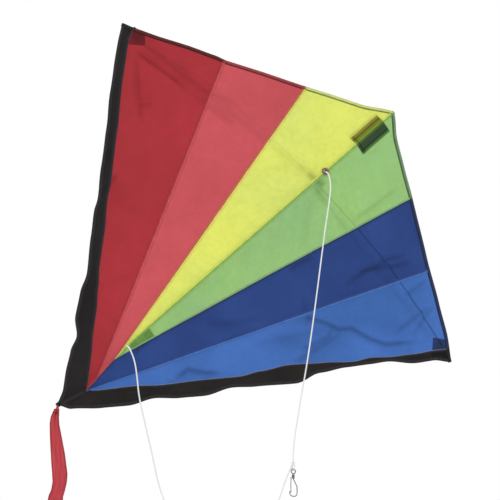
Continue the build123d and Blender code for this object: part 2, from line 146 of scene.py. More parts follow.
class Tree:
    # short hands for building a material's nodes
    def __init__(self, name):
        self.material = bpy.data.materials.new(name)
        self.material.use_nodes = True
        self.nodes = self.material.node_tree.nodes
        self.links = self.material.node_tree.links
        self.shader = self.nodes["Principled BSDF"]
        self.output = self.nodes["Material Output"]

    def feed(self, socket, value):
        if isinstance(value, bpy.types.NodeSocket):
            self.links.new(value, socket)
        else:
            socket.default_value = value

    def math(self, operation, a, b=None):
        node = self.nodes.new("ShaderNodeMath")
        node.operation = operation
        self.feed(node.inputs[0], a)
        if b is not None:
            self.feed(node.inputs[1], b)
        return node.outputs[0]

    def remap(self, value, low, high, newLow, newHigh):
        node = self.nodes.new("ShaderNodeMapRange")
        for socket, number in zip(node.inputs[1:5], (low, high, newLow, newHigh)):
            socket.default_value = number
        self.feed(node.inputs[0], value)
        return node.outputs[0]

    def mix(self, share, a, b, mode="MIX"):
        node = self.nodes.new("ShaderNodeMix")
        node.data_type = "RGBA"
        node.blend_type = mode
        self.feed(node.inputs["Factor"], share)
        self.feed(node.inputs["A"], a)
        self.feed(node.inputs["B"], b)
        return node.outputs["Result"]

    def shade(self, colour, share):
        # the colour times one grey share
        return self.mix(1.0, colour, self.join(share, share, share), "MULTIPLY")

    def attribute(self, name):
        node = self.nodes.new("ShaderNodeAttribute")
        node.attribute_name = name
        return node.outputs["Vector"]

    def place(self):
        return self.nodes.new("ShaderNodeTexCoord").outputs["Object"]

    def split(self, vector):
        node = self.nodes.new("ShaderNodeSeparateXYZ")
        self.feed(node.inputs[0], vector)
        return node.outputs[0], node.outputs[1], node.outputs[2]

    def join(self, x, y, z=0.0):
        node = self.nodes.new("ShaderNodeCombineXYZ")
        for socket, value in zip(node.inputs, (x, y, z)):
            self.feed(socket, value)
        return node.outputs[0]

    def noise(self, vector, scale, detail=3.0, roughness=0.55, distortion=0.0):
        node = self.nodes.new("ShaderNodeTexNoise")
        self.feed(node.inputs["Vector"], vector)
        node.inputs["Scale"].default_value = scale
        node.inputs["Detail"].default_value = detail
        node.inputs["Roughness"].default_value = roughness
        node.inputs["Distortion"].default_value = distortion
        return node.outputs["Fac"]

    def wave(self, vector, scale, direction="X"):
        node = self.nodes.new("ShaderNodeTexWave")
        node.bands_direction = direction
        self.feed(node.inputs["Vector"], vector)
        node.inputs["Scale"].default_value = scale
        return node.outputs["Fac"]

    def ramp(self, value, stops):
        node = self.nodes.new("ShaderNodeValToRGB")
        elements = node.color_ramp.elements
        while len(elements) > 1:
            elements.remove(elements[-1])
        elements[0].position, elements[0].color = stops[0][0], stops[0][1]
        for position, colour in stops[1:]:
            elements.new(position).color = colour
        self.feed(node.inputs[0], value)
        return node.outputs["Color"]

    def bump(self, height, distance, under=None):
        node = self.nodes.new("ShaderNodeBump")
        node.inputs["Strength"].default_value = 1.0
        node.inputs["Distance"].default_value = distance
        self.feed(node.inputs["Height"], height)
        if under is not None:
            self.feed(node.inputs["Normal"], under)
        return node.outputs["Normal"]

    def boxMask(self, u, v, centre, halfSize, turn=0.0, soft=0.6 * mm):
        # 1 inside a rectangle of the flat cloth, with a soft edge
        du, dv = self.math("SUBTRACT", u, centre[0]), self.math("SUBTRACT", v, centre[1])
        if turn:
            c, s = cos(turn), sin(turn)
            du, dv = (self.math("ADD", self.math("MULTIPLY", du, c), self.math("MULTIPLY", dv, s)),
                      self.math("SUBTRACT", self.math("MULTIPLY", dv, c), self.math("MULTIPLY", du, s)))
        sides = []
        for d, h in ((du, halfSize[0]), (dv, halfSize[1])):
            sides.append(self.remap(self.math("ABSOLUTE", d), h - soft, h + soft, 1.0, 0.0))
        return self.math("MULTIPLY", *sides), du, dv

    def finish(self, colour, roughness, normal=None, specular=0.5, sheen=0.0, metallic=0.0, thin=0.0, coat=0.0):
        self.feed(self.shader.inputs["Base Color"], colour)
        self.feed(self.shader.inputs["Roughness"], roughness)
        self.shader.inputs["Specular IOR Level"].default_value = specular
        self.shader.inputs["Metallic"].default_value = metallic
        self.shader.inputs["Coat Weight"].default_value = coat
        if sheen:
            self.shader.inputs["Sheen Weight"].default_value = sheen
            self.shader.inputs["Sheen Roughness"].default_value = 0.4
        if normal is not None:
            self.feed(self.shader.inputs["Normal"], normal)
        if thin:        # light comes through thin cloth
            through = self.nodes.new("ShaderNodeBsdfTranslucent")
            self.feed(through.inputs["Color"], colour)
            if normal is not None:
                self.feed(through.inputs["Normal"], normal)
            both = self.nodes.new("ShaderNodeMixShader")
            both.inputs[0].default_value = thin
            self.links.new(self.shader.outputs[0], both.inputs[1])
            self.links.new(through.outputs[0], both.inputs[2])
            self.links.new(both.outputs[0], self.output.inputs["Surface"])
        return self.material


# the kite's own directions
spineFold = next(j for j in frame["joints"] if j["name"] == "left_wing_fold")
along = Vector(spineFold["axis"]).normalized()       # up the spine to the nose
back = Vector((0, 1, 0))
across = back.cross(along)                           # to the right wing
sweep = radians(max(spineFold["range_deg"]))         # each wing leans back by this
seamLow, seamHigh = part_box("centre_seam")
standoff = -(seamLow.y + seamHigh.y) / 2             # cloth in front of the spine


def flatCorners(node, side):
    # a wing node's vertices as places on the cloth laid flat
    outward = across * (side * cos(sweep)) + back * sin(sweep)
    return [(side * (p.co.dot(outward) + standoff * sin(sweep)), p.co.dot(along))
            for p in frame["nodes"][node].data.vertices]


sailCorners = {
    "nose": (0.0, max(p.co.dot(along) for p in frame["nodes"]["centre_seam"].data.vertices)),
    "tail": (0.0, min(p.co.dot(along) for p in frame["nodes"]["centre_seam"].data.vertices)),
    "leftTip": min(flatCorners("hem_left", -1)),
    "rightTip": max(flatCorners("hem_right", 1)),
}
nose, tail, leftTip, rightTip = (np.array(sailCorners[k]) for k in ("nose", "tail", "leftTip", "rightTip"))

print("bridle cords")

cordSettings = {
    "diameter": 1.6 * mm,
    "upper": {"node": "bridle_upper_leg", "length": 0.354, "lay": "hanging", "route": [
        (0.014387, -0.0023, 0.013893), (0.0148, -0.008, 0.0126), (0.0169, -0.0106, 0.005),
        (0.0183, -0.010, -0.009), (0.0156, -0.0093, -0.029), (0.0106, -0.009, -0.060),
        (0.004, -0.009, -0.106),
        (-0.0036, -0.009, -0.158), (-0.0118, -0.009, -0.211), (-0.0206, -0.009, -0.257),
        (-0.0279, -0.009, -0.297), (-0.0308, -0.009, -0.316), (-0.031, -0.009, -0.3315)]},
    "lower": {"node": "bridle_lower_leg", "length": 0.406, "lay": "hanging", "route": [
        (-0.223355, -0.0023, -0.21569), (-0.2228, -0.0082, -0.2176), (-0.2199, -0.0108, -0.2244),
        (-0.2154, -0.0102, -0.235), (-0.2126, -0.0095, -0.250), (-0.2099, -0.009, -0.272),
        (-0.2026, -0.009, -0.301), (-0.1936, -0.009, -0.335), (-0.1852, -0.009, -0.371),
        (-0.169, -0.009, -0.405),
        (-0.142, -0.009, -0.430), (-0.108, -0.009, -0.439), (-0.076, -0.009, -0.424),
        (-0.056, -0.009, -0.396),
        (-0.045, -0.009, -0.366), (-0.038, -0.009, -0.347), (-0.0324, -0.009, -0.3354)]},
}


def cordMaterial():
    # a fine white braid, with painted shade in its grooves
    t = Tree("braided white cord")
    x, y, z = t.split(t.place())
    left = t.wave(t.join(t.math("ADD", x, y), y, t.math("MULTIPLY", z, 1.6)), 210, "DIAGONAL")
    right = t.wave(t.join(t.math("SUBTRACT", x, y), y, t.math("MULTIPLY", z, -1.6)), 210, "DIAGONAL")
    braid = t.math("MULTIPLY", left, right)
    fuzz = t.noise(t.place(), 900, 2)
    colour = t.ramp(braid, [(0.0, rgb(218, 218, 221)), (0.4, rgb(242, 242, 243)), (1.0, rgb(254, 254, 252))])
    dust = t.remap(t.noise(t.place(), 14, 2), 0.35, 0.7, 0.94, 1.0)
    colour = t.shade(colour, dust)
    normal = t.bump(fuzz, 0.05 * mm, t.bump(braid, 0.25 * mm))
    return t.finish(colour, 0.7, normal, specular=0.25, sheen=0.3)


whiteCord = cordMaterial()


def nurbsCord(name, points, thickness, material, closed=False):
    curve = bpy.data.curves.new(name, "CURVE")
    curve.dimensions = "3D"
    curve.bevel_depth = thickness / 2
    curve.bevel_resolution = 4
    curve.resolution_u = 10
    spline = curve.splines.new("NURBS")
    spline.points.add(len(points) - 1)
    for knot, place in zip(spline.points, points):
        knot.co = (*place, 1)
    spline.order_u = 3
    if closed:
        spline.use_cyclic_u = True
    else:
        spline.use_endpoint_u = True
        curve.use_fill_caps = True
    piece = bpy.data.objects.new(name, curve)
    scene.collection.objects.link(piece)
    curve.materials.append(material)
    return piece


legs = {}
for legName in ("upper", "lower"):
    settings = cordSettings[legName]
    legs[legName] = nurbsCord(f"{legName}Leg", settings["route"], cordSettings["diameter"], whiteCord)
    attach(legs[legName], "frame")
    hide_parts(settings["node"])

# the sail laid flat, in millimetres
print("sail outline")

# how far the cloth's edge stands out from a straight line between two corners: (share of the way, mm outward)
sailSettings = {
    "grid": 3.1, "edgeStep": 3.0, "foldRadius": 5.0, "endGap": 5, "rowShare": 0.866, "clearShare": 0.55,
    "leftLeading": [(0, 0), (.12, -5.4), (.23, -5.0), (.34, -5.3), (.49, -4.7), (.61, -5.2),
                    (.66, -3.2), (.76, -1.9),
                    (.86, -2.4), (.955, -1.4), (1, 0)],
    "rightLeading": [(0, 0), (.11, -5.0), (.22, -3.9), (.35, -2.3), (.58, -1.2), (.77, 1.3), (.89, 2.8),
                     (1, 0)],
    "leftTrailing": [(0, 0), (.06, 1.2), (.10, 1.3), (.2, 0.4), (.30, -2.2), (.40, -3.6), (.49, -5.6),
                     (.52, -4),
                     (.58, -5.2), (.68, -7.4), (.73, -3.7), (.785, -2.9), (.83, -8.0), (.87, -4), (.92, -2.6),
                     (.96, -3.0), (1, 0)],
    "rightTrailing": [(0, 0), (.03, 5.2), (.10, 8.0), (.16, 8.6), (.22, 3.8), (.28, 6.6), (.335, 7.2),
                      (.41, 1.6),
                      (.47, 3.4), (.57, 4.9), (.64, -4.0), (.71, -7.0), (.77, -7.8), (.82, -8.6),
                      (.905, -3.1),
                      (.95, -4.1), (1, 0)],
    "leftBorder": [(.045, -11.0), (.15, -11.5), (.30, -15), (.45, -17.4), (.48, -16.6), (.57, -19.4),
                   (.65, -19.9),
                   (.71, -22.2), (.76, -24.4), (.81, -24.8), (.87, -26.6), (.92, -27.4)],
    "rightBorder": [(.06, -12.8), (.10, -11.4), (.17, -11.9), (.24, -9.9), (.33, -10.6), (.43, -10),
                    (.49, -13.4),
                    (.56, -17.0), (.65, -15.4), (.73, -13.0), (.775, -15.4), (.84, -13.7), (.90, -14.2),
                    (.955, -16)],
    "leftSeams": (.322, .623, .955), "rightSeams": (.343, .631, .948),
    "yellowEnd": (3.2, -331.0), "redEnd": (7.2, -364.0), "fanFoot": (8.5, -379.0), "eyeletHole": 2.35,
}
outlineCentre = np.array([0.0, -130.0])
corners = {"nose": nose / mm, "tail": tail / mm, "leftTip": leftTip / mm, "rightTip": rightTip / mm}


def eased(shares, keys):
    # a soft wave through the given (share, offset) pairs
    places, offsets = np.array(keys, float).T
    shares = np.clip(shares, places[0], places[-1])
    k = np.clip(np.searchsorted(places, shares, side="right") - 1, 0, len(places) - 2)
    s = (shares - places[k]) / (places[k + 1] - places[k])
    return offsets[k] + (offsets[k + 1] - offsets[k]) * s * s * (3 - 2 * s)


def outwardOf(start, end):
    d = (end - start) / np.linalg.norm(end - start)
    n = np.array([-d[1], d[0]])
    return -n if n @ (outlineCentre - start) > 0 else n


def edgeLine(start, end, keys, stops=(), first=0.0, last=1.0):
    # points along a cloth edge; stops are shares that get a point of their own
    length = np.linalg.norm(end - start)
    count = int(length * (last - first) / sailSettings["edgeStep"])
    shares = np.unique(np.round(np.concatenate([np.linspace(first, last, count + 1), stops]), 6))
    crowded = [i for i, f in enumerate(shares[:-1]) for s in stops
               if 0 < abs(f - s) < .35 / count and f not in stops]
    shares = np.delete(shares, crowded)
    points = start + np.outer(shares, end - start) + np.outer(eased(shares, keys), outwardOf(start, end))
    return shares, points


def between(line, first, last):
    shares, points = line
    low, high = min(first, last) - 1e-6, max(first, last) + 1e-6
    chosen = points[(shares >= low) & (shares <= high)]
    return chosen if first <= last else chosen[::-1]


def straight(*stations):
    # an even run of points through a few stations
    points = [np.array(stations[0], float)]
    for a, b in zip(stations[:-1], stations[1:]):
        a, b = np.array(a, float), np.array(b, float)
        count = max(1, int(np.linalg.norm(b - a) / sailSettings["edgeStep"]))
        points += [a + (b - a) * k / count for k in range(1, count + 1)]
    return np.array(points)


leftSeams, rightSeams = sailSettings["leftSeams"], sailSettings["rightSeams"]
leftLeading = edgeLine(corners["nose"], corners["leftTip"], sailSettings["leftLeading"], leftSeams)
rightLeading = edgeLine(corners["nose"], corners["rightTip"], sailSettings["rightLeading"], rightSeams)
leftTrailing = edgeLine(corners["leftTip"], corners["tail"], sailSettings["leftTrailing"])
rightTrailing = edgeLine(corners["tail"], corners["rightTip"], sailSettings["rightTrailing"])


def borderLine(start, end, keys, leadingPoint, reverse):
    # the inner edge of a black border, from the leading edge to the foot of the fan
    length = np.linalg.norm(end - start)
    first, last = keys[0][0], keys[-1][0]
    shares = np.linspace(first, last, int(length * (last - first) / sailSettings["edgeStep"]))
    inner = start + np.outer(shares, end - start) + np.outer(eased(shares, keys), outwardOf(start, end))
    if reverse:
        inner = inner[::-1]
    foot = np.array(sailSettings["fanFoot"])
    for end in (leadingPoint, foot):
        inner = inner[np.linalg.norm(inner - end, axis=1) > sailSettings["endGap"]]
    return np.vstack([straight(leadingPoint, inner[0])[:-1], inner[:-1], straight(inner[-1], foot)])


yellowEnd, redEnd, fanFoot = (np.array(sailSettings[k]) for k in ("yellowEnd", "redEnd", "fanFoot"))
leftAt = [between(leftLeading, f, f)[0] for f in leftSeams]
rightAt = [between(rightLeading, f, f)[0] for f in rightSeams]
leftBorder = borderLine(corners["leftTip"], corners["tail"], sailSettings["leftBorder"], leftAt[2], False)
rightBorder = borderLine(corners["tail"], corners["rightTip"], sailSettings["rightBorder"], rightAt[2], True)
spineLine = straight(corners["nose"], (0, -40), (0.6, -300), yellowEnd)
eyeletPlace = np.array([0.0, ((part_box("eyelet")[0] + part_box("eyelet")[1]) / 2).dot(along) / mm])


def roundEyelet(side):
    # the spine line with half of the eyelet's hole cut into one panel
    hole = sailSettings["eyeletHole"]
    arc = [eyeletPlace + hole * np.array([side * sin(a), cos(a)]) for a in (pi * k / 8 for k in range(9))]
    above = spineLine[spineLine[:, 1] > eyeletPlace[1] + hole + 1]
    below = spineLine[spineLine[:, 1] < eyeletPlace[1] - hole - 1]
    return np.vstack([above, arc, below])


seamLines = {
    "yellowRed": straight(leftAt[0], yellowEnd), "redRed": straight(leftAt[1], redEnd),
    "greenBlue": straight(rightAt[0], yellowEnd), "blueBlue": straight(rightAt[1], fanFoot),
    "foot": straight(yellowEnd, redEnd, fanFoot), "spine": spineLine,
}
footToRed = straight(yellowEnd, redEnd)
footToFan = straight(redEnd, fanFoot)
mitre = straight(corners["tail"], fanFoot)


def loopOf(*runs):
    # runs of points end to end, each point once
    loop = [runs[0][0]]
    for run in runs:
        for p in run:
            if np.linalg.norm(p - loop[-1]) > 0.05:
                loop.append(p)
    while np.linalg.norm(loop[0] - loop[-1]) < 0.05:
        loop.pop()
    return np.array(loop)


leftStops, rightStops = (0.0, *leftSeams), (0.0, *rightSeams)
gores = {
    "panelYellow": loopOf(between(leftLeading, 0, leftStops[1]), seamLines["yellowRed"],
                          roundEyelet(-1)[::-1]),
    "panelLightRed": loopOf(between(leftLeading, leftStops[1], leftStops[2]), seamLines["redRed"],
                            footToRed[::-1], seamLines["yellowRed"][::-1]),
    "panelDarkRed": loopOf(between(leftLeading, leftStops[2], leftStops[3]), leftBorder, footToFan[::-1],
                           seamLines["redRed"][::-1]),
    "panelGreen": loopOf(between(rightLeading, 0, rightStops[1]), seamLines["greenBlue"],
                         roundEyelet(1)[::-1]),
    "panelDarkBlue": loopOf(between(rightLeading, rightStops[1], rightStops[2]), seamLines["blueBlue"],
                            footToFan[::-1], footToRed[::-1], seamLines["greenBlue"][::-1]),
    "panelLightBlue": loopOf(between(rightLeading, rightStops[2], rightStops[3]), rightBorder,
                             seamLines["blueBlue"][::-1]),
    "borderLeft": loopOf(between(leftLeading, leftStops[3], 1), between(leftTrailing, 0, 1), mitre,
                         leftBorder[::-1]),
    "borderRight": loopOf(between(rightLeading, rightStops[3], 1), between(rightTrailing, 1, 0), mitre,
                          rightBorder[::-1]),
}

# how the cloth leaves its plane
reliefSettings = {
    "billowLow": -4.2, "billowHigh": -1.6,
    "tipFolds": {"height": 0.75, "spokes": 13, "reach": 95.0, "start": 34},
    "ruffle": {"height": 3.2, "depth": 26.0, "wave": 74.0, "quicker": 2.3, "slowShare": 1.7, "quickShare": 0.8},
    "slack": {"height": 1.1, "size": 85.0}, "crumple": {"height": 0.34, "size": 24.0},
    # the cloth is held within these many millimetres of a place, down to a least share of its relief
    "held": {"spine": 16, "corner": 26, "cornerLeast": 0.15, "edge": 30, "edgeLeast": 0.35},
    "creaseEnds": 5, "creaseLeast": 0.25, "shadeEnds": 6, "shadeWidth": 0.62, "shadeMost": 0.6,
    # creases: points on the flat cloth, height, width and how dark the painted shade along the crease is
    "creases": [
        ([(107, -132), (118, -107), (135, -94), (148, -86), (153, -84), (164, -68), (189, -56), (207, -43),
          (235, -1)], 3.0, 4.6, .42),
        ([(148, -86), (151, -102), (146, -122), (140, -140)], 2.0, 4.4, .26),
        ([(145, -160), (151, -130), (156, -104), (160, -80)], 2.0, 5.2, .22),
        ([(90, -96), (118, -107), (128, -120)], 1.6, 6.0, .16),
        ([(120, -46), (121, -27), (124, -8), (134, 12), (145, 30), (154, 52)], 2.4, 4.2, .34),
        ([(118, -20), (127, 2), (132, 24), (145, 50)], -2.0, 4.4, .26),
        ([(62, -94), (61, -76), (69, -55)], 1.6, 5.0, .28), ([(206, -26), (208, 12), (211, 36)], 1.8, 4.2, .22),
        ([(178, 12), (185, 54)], 1.6, 4.2, .18), ([(226, -6), (218, 22), (214, 44)], -1.6, 4.0, .18),
        ([(66, 10), (68, 26), (70, 51), (72, 76), (73, 98)], 1.8, 4.6, .14),
        ([(64, -290), (67, -268), (83, -254), (96, -238)], 2.4, 4.2, .40),
        ([(58, -300), (78, -284), (100, -262)], 1.6, 5.0, .16),
        ([(96, -190), (120, -140), (150, -86)], 1.6, 7.0, .12),
        ([(40, -218), (58, -196), (84, -150)], 1.5, 6.0, .14),
        ([(-262, -33), (-253, -34.5), (-232, -30.6), (-210, -27.6), (-188, -25)], -2.6, 3.8, .34),
        ([(-200, -26), (-167, -23.6), (-142, -20.8), (-105, -15.6)], -2.0, 6.4, .14),
        ([(-262, -23), (-226, -19), (-174, -12.8), (-135, -2)], 1.6, 4.0, .16),
        ([(-256, -38), (-234, -58), (-209, -80), (-183, -101)], -2.0, 4.6, .18),
        ([(-206, -84), (-200, -76), (-196, -70)], 1.4, 3.6, .16),
        ([(-268, -70), (-222, -120), (-170, -190)], 2.0, 9.0, .06),
        ([(-158, -168), (-154, -186), (-153, -206)], 2.4, 4.6, .30),
        ([(-90, -330), (-60, -250), (-52, -190)], 1.6, 8.0, .05),
        ([(-36, 86), (-20, 40), (-4, 18)], -1.2, 6.0, .03), ([(4, 16), (26, -30), (60, -60)], -1.2, 7.0, .05),
        ([(-3, 22), (-36, -10), (-70, -70)], 1.2, 8.0, .03),
        ([(-14, 6), (-8, 2), (6, 4), (14, 10)], -1.0, 6.0, .30),
        ([(30, -220), (66, -190), (150, -120)], 2.0, 9.0, .06),
        ([(40, -330), (110, -262), (170, -190)], 1.8, 7.0, .08),
    ],
}


def distanceToLine(points, stations):
    best = np.full(len(points), 1e9)
    for a, b in zip(stations[:-1], stations[1:]):
        a, b = np.array(a, float), np.array(b, float)
        s = np.clip(((points - a) @ (b - a)) / ((b - a) @ (b - a)), 0, 1)
        best = np.minimum(best, np.linalg.norm(points - a - np.outer(s, b - a), axis=1))
    return best


def shareOfWay(points, stations):
    steps = np.array(stations, float)
    return ((points - steps[0]) @ (steps[-1] - steps[0])) / ((steps[-1] - steps[0]) @ (steps[-1] - steps[0]))


def bulge(points, a, b, c):
    # 0 on the triangle's sides, 1 at its middle
    a, b, c = (np.array(p, float) for p in (a, b, c))
    frameMatrix = np.array([b - a, c - a]).T
    s, t = np.linalg.solve(frameMatrix, (points - a).T)
    return 27 * np.clip(s, 0, 1) * np.clip(t, 0, 1) * np.clip(1 - s - t, 0, 1)


def relief(points):
    # millimetres in front of the wing's plane, for points on the flat cloth in millimetres
    settings = reliefSettings
    points = np.asarray(points, float)
    height = np.zeros(len(points))
    for tip in ("leftTip", "rightTip"):
        height += settings["billowLow"] * bulge(points, (0, 0), corners[tip], corners["tail"]) ** 0.8
        height += settings["billowHigh"] * bulge(points, (0, 0), corners[tip], corners["nose"])
    folds = settings["tipFolds"]
    for tip, phase in (("leftTip", 0.4), ("rightTip", 1.3)):
        arm = points - corners[tip]
        reach, turn = np.hypot(*arm.T), np.arctan2(arm[:, 1], arm[:, 0])
        fade = np.exp(-reach / folds["reach"]) * (1 - np.exp(-(reach / folds["start"]) ** 2))
        height += folds["height"] * np.sin(folds["spokes"] * turn + phase) * fade
    ruffle = settings["ruffle"]
    for line, seed in ((leftTrailing, 3.1), (rightTrailing, 8.7)):
        stations = (line[1][0], line[1][-1])
        inward = distanceToLine(points, line[1][::3])
        way = shareOfWay(points, stations)
        run = way * np.linalg.norm(stations[1] - stations[0])
        swell = np.array([noise.noise(Vector((r / ruffle["wave"], seed, 0))) for r in run])
        quick = np.array([noise.noise(Vector((r / ruffle["wave"] * ruffle["quicker"], seed, 5))) for r in run])
        fade = np.exp(-(inward / ruffle["depth"]) ** 2) * np.clip(np.minimum(way, 1 - way) * 9, 0, 1)
        height += ruffle["height"] * (ruffle["slowShare"] * swell + ruffle["quickShare"] * quick) * fade
    for name in ("slack", "crumple"):
        size = settings[name]["size"]
        height += settings[name]["height"] * np.array(
            [noise.noise(Vector((u / size, v / size * 0.8, 2.0))) for u, v in points])
    for stations, high, width, _ in settings["creases"]:
        way = shareOfWay(points, stations)
        ends = np.clip(way * settings["creaseEnds"], 0, 1) * np.clip((1 - way) * settings["creaseEnds"], 0, 1)
        least = settings["creaseLeast"]
        height += high * np.exp(-(distanceToLine(points, stations) / width) ** 2) * (least + (1 - least) * ends)
    # held down along the spine, the leading edges and at the corners
    hold = settings["held"]
    held = np.clip(np.abs(points[:, 0]) / hold["spine"], 0, 1)
    held = held * held * (3 - 2 * held)
    for tip in ("leftTip", "rightTip", "nose", "tail"):
        near = np.clip(np.linalg.norm(points - corners[tip], axis=1) / hold["corner"], 0, 1)
        held = held * (hold["cornerLeast"] + (1 - hold["cornerLeast"]) * near)
    for line in (leftLeading, rightLeading):
        near = np.clip(distanceToLine(points, line[1][::3]) / hold["edge"], 0, 1)
        held = held * (hold["edgeLeast"] + (1 - hold["edgeLeast"]) * near)
    return height * held


def paintedCreaseShade(points):
    # painted shade along the creases: how much darker the cloth is painted there, from 0
    settings = reliefSettings
    dark = np.zeros(len(points))
    for stations, _, width, shade in settings["creases"]:
        way = shareOfWay(points, stations)
        ends = np.clip(way * settings["shadeEnds"], 0, 1) * np.clip((1 - way) * settings["shadeEnds"], 0, 1)
        near = distanceToLine(points, stations) / (width * settings["shadeWidth"])
        dark += shade * np.exp(-near ** 2) * ends
    return np.clip(dark, 0, settings["shadeMost"])


def inSpace(points, lift=0.0):
    # the flat cloth in millimetres, and how far something stands in front of it, to places in metres
    points = np.asarray(points, float)
    u, v = points[:, 0], points[:, 1]
    r = sailSettings["foldRadius"]
    lean = np.sqrt(u * u + r * r) - r
    side = u / np.sqrt(u * u + r * r)
    w = (relief(points) + lift) * mm
    a, b, n = (np.array(d) for d in (across, back, along))
    front = -np.outer(np.full(len(u), cos(sweep)), b) + np.outer(side * sin(sweep), a)
    return (np.outer(u * cos(sweep) * mm, a) + np.outer(v * mm, n)
            + np.outer(lean * sin(sweep) * mm - standoff, b) + front * w[:, None])


# sewing helpers
def insideLoop(points, loop):
    x, y = points.T
    inside = np.zeros(len(points), bool)
    for (x0, y0), (x1, y1) in zip(loop, np.roll(loop, -1, axis=0)):
        if y0 != y1:
            crosses = ((y0 > y) != (y1 > y)) & (x < (x1 - x0) * (y - y0) / (y1 - y0) + x0)
            inside ^= crosses
    return inside


def meshPiece(name, places, faces, material, attributes):
    mesh = bpy.data.meshes.new(name)
    mesh.from_pydata([tuple(p) for p in places], [], [tuple(int(i) for i in f) for f in faces])
    for key, values in attributes.items():
        values = np.asarray(values, np.float32)
        values = np.hstack([values, np.zeros((len(values), 3 - values.shape[1]), np.float32)])
        mesh.attributes.new(key, "FLOAT_VECTOR", "POINT").data.foreach_set("vector", values.ravel())
    mesh.shade_smooth()
    mesh.materials.append(material)
    mesh.update()
    piece = bpy.data.objects.new(name, mesh)
    scene.collection.objects.link(piece)
    return piece


def cutCloth(name, loop, material):
    # one panel: its outline and an even grid of points inside, joined up and laid in space
    step = sailSettings["grid"]
    low, high = loop.min(0), loop.max(0)
    rows = np.arange(low[1], high[1], step * sailSettings["rowShare"])
    grid = np.array([(x + (k % 2) * step / 2, y)
                     for k, y in enumerate(rows) for x in np.arange(low[0], high[0], step)])
    grid = grid[insideLoop(grid, loop)]
    grid = grid[distanceToLine(grid, np.vstack([loop, loop[:1]])) > step * sailSettings["clearShare"]]
    points = np.vstack([loop, grid])
    made = delaunay_2d_cdt([Vector(p) for p in points], [], [list(range(len(loop)))], 1, 1e-4)
    flat = np.array([tuple(p) for p in made[0]])
    faces = [f if np.cross(flat[f[1]] - flat[f[0]], flat[f[2]] - flat[f[0]]) > 0 else f[::-1] for f in made[2]]
    # the third number of flat is the painted crease shade
    return meshPiece(name, inSpace(flat), faces, material, {
        "flat": np.column_stack([flat * mm, paintedCreaseShade(flat)])})


def stripAlong(name, line, profile, material, closed=False, lift=0.0, side=1.0, taper=0.0, slim=0.3):
    # a band sewn along a line of the flat cloth; profile is (across, height) in millimetres, and it
    # narrows to slim over the last taper millimetres
    steps = np.diff(line, axis=0)
    tangent = np.vstack([steps[:1], (steps[1:] + steps[:-1]), steps[-1:]])
    tangent = tangent / np.linalg.norm(tangent, axis=1)[:, None]
    normal = np.stack([-tangent[:, 1], tangent[:, 0]], 1) * side
    run = np.concatenate([[0], np.cumsum(np.linalg.norm(steps, axis=1))])
    count = len(profile)
    narrow = 1.0 - (1.0 - slim) * np.clip(1 - (run[-1] - run) / taper, 0, 1) if taper else np.ones(len(run))
    places, flat, runs = [], [], []
    for x, z in profile:
        points = line + normal * (x * narrow)[:, None]
        places.append(inSpace(points, lift + z))
        flat.append(points)
        runs.append(np.stack([run, np.full(len(run), x), np.full(len(run), z)], 1))
    n = len(line)
    faces = []
    for j in range(count if closed else count - 1):
        k = (j + 1) % count
        for i in range(n - 1):
            quad = (j * n + i, j * n + i + 1, k * n + i + 1, k * n + i)
            faces.append(quad if side > 0 else quad[::-1])
    if closed:
        for i in (0, n - 1):
            cap = [j * n + i for j in range(count)]
            faces.append(cap if (i == 0) == (side > 0) else cap[::-1])
    return meshPiece(name, np.vstack(places), faces, material,
                     {"flat": np.vstack(flat) * mm, "run": np.vstack(runs) * mm})


bendSettings = {"left": (0.0, -12.0), "right": (8.5, 20.5)}      # millimetres from the spine


def foldsWith(piece, side):
    start, end = bendSettings[side]
    base = inSpace([(start, 0), (end, 0)])
    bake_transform(piece)


print("cloth materials")

clothSettings = {
    "roughness": 0.58, "sheen": 0.05, "specular": 0.16, "thin": 0.34,
    "weave": 0.42 * mm, "weaveDepth": 0.05 * mm, "wrinkleDepth": 0.5 * mm,
    "panelYellow": {"node": "panel_yellow", "slot": "cloth_yellow",
        "colour": rgb(226, 232, 104), "drift": rgb(214, 226, 112)},
    "panelLightRed": {"node": "panel_light_red", "slot": "cloth_light_red",
        "colour": rgb(204, 84, 92), "drift": rgb(192, 78, 84)},
    "panelDarkRed": {"node": "panel_dark_red", "slot": "cloth_dark_red",
        "colour": rgb(174, 49, 58), "drift": rgb(158, 44, 50)},
    "panelGreen": {"node": "panel_green", "slot": "cloth_green",
        "colour": rgb(158, 204, 122), "drift": rgb(148, 194, 126)},
    "panelDarkBlue": {"node": "panel_dark_blue", "slot": "cloth_dark_blue",
        "colour": rgb(46, 74, 140), "drift": rgb(40, 64, 124)},
    "panelLightBlue": {"node": "panel_light_blue", "slot": "cloth_light_blue",
        "colour": rgb(72, 116, 194), "drift": rgb(62, 104, 174)},
    "borderLeft": {"node": "border_left", "slot": "cloth_black",
        "colour": rgb(20, 17, 19), "drift": rgb(30, 27, 28)},
    "borderRight": {"node": "border_right", "slot": "cloth_black",
        "colour": rgb(22, 19, 20), "drift": rgb(36, 31, 29)},
}
# painted shadows of what lies behind the cloth: centre, half size, turn and how much of the colour is left
paintedBackShadows = {
    "tape": {"centre": (2.4, 100.6), "half": (12.8, 24.6), "turn": 0.0},
    "leftPocket": {"centre": (-272.6, -22.0), "half": (10.2, 10.0), "turn": radians(45),
                   "left": (.40, .42, .46, 1)},
    "rightPocket": {"centre": (261.6, 17.6), "half": (13.4, 12.6), "turn": radians(45),
                    "left": (.36, .28, .28, 1)},
    "patch": {"centre": (8.6, -293.0), "half": (7.0, 15.5), "turn": 0.0, "left": (.62, .74, .48, 1)},
}


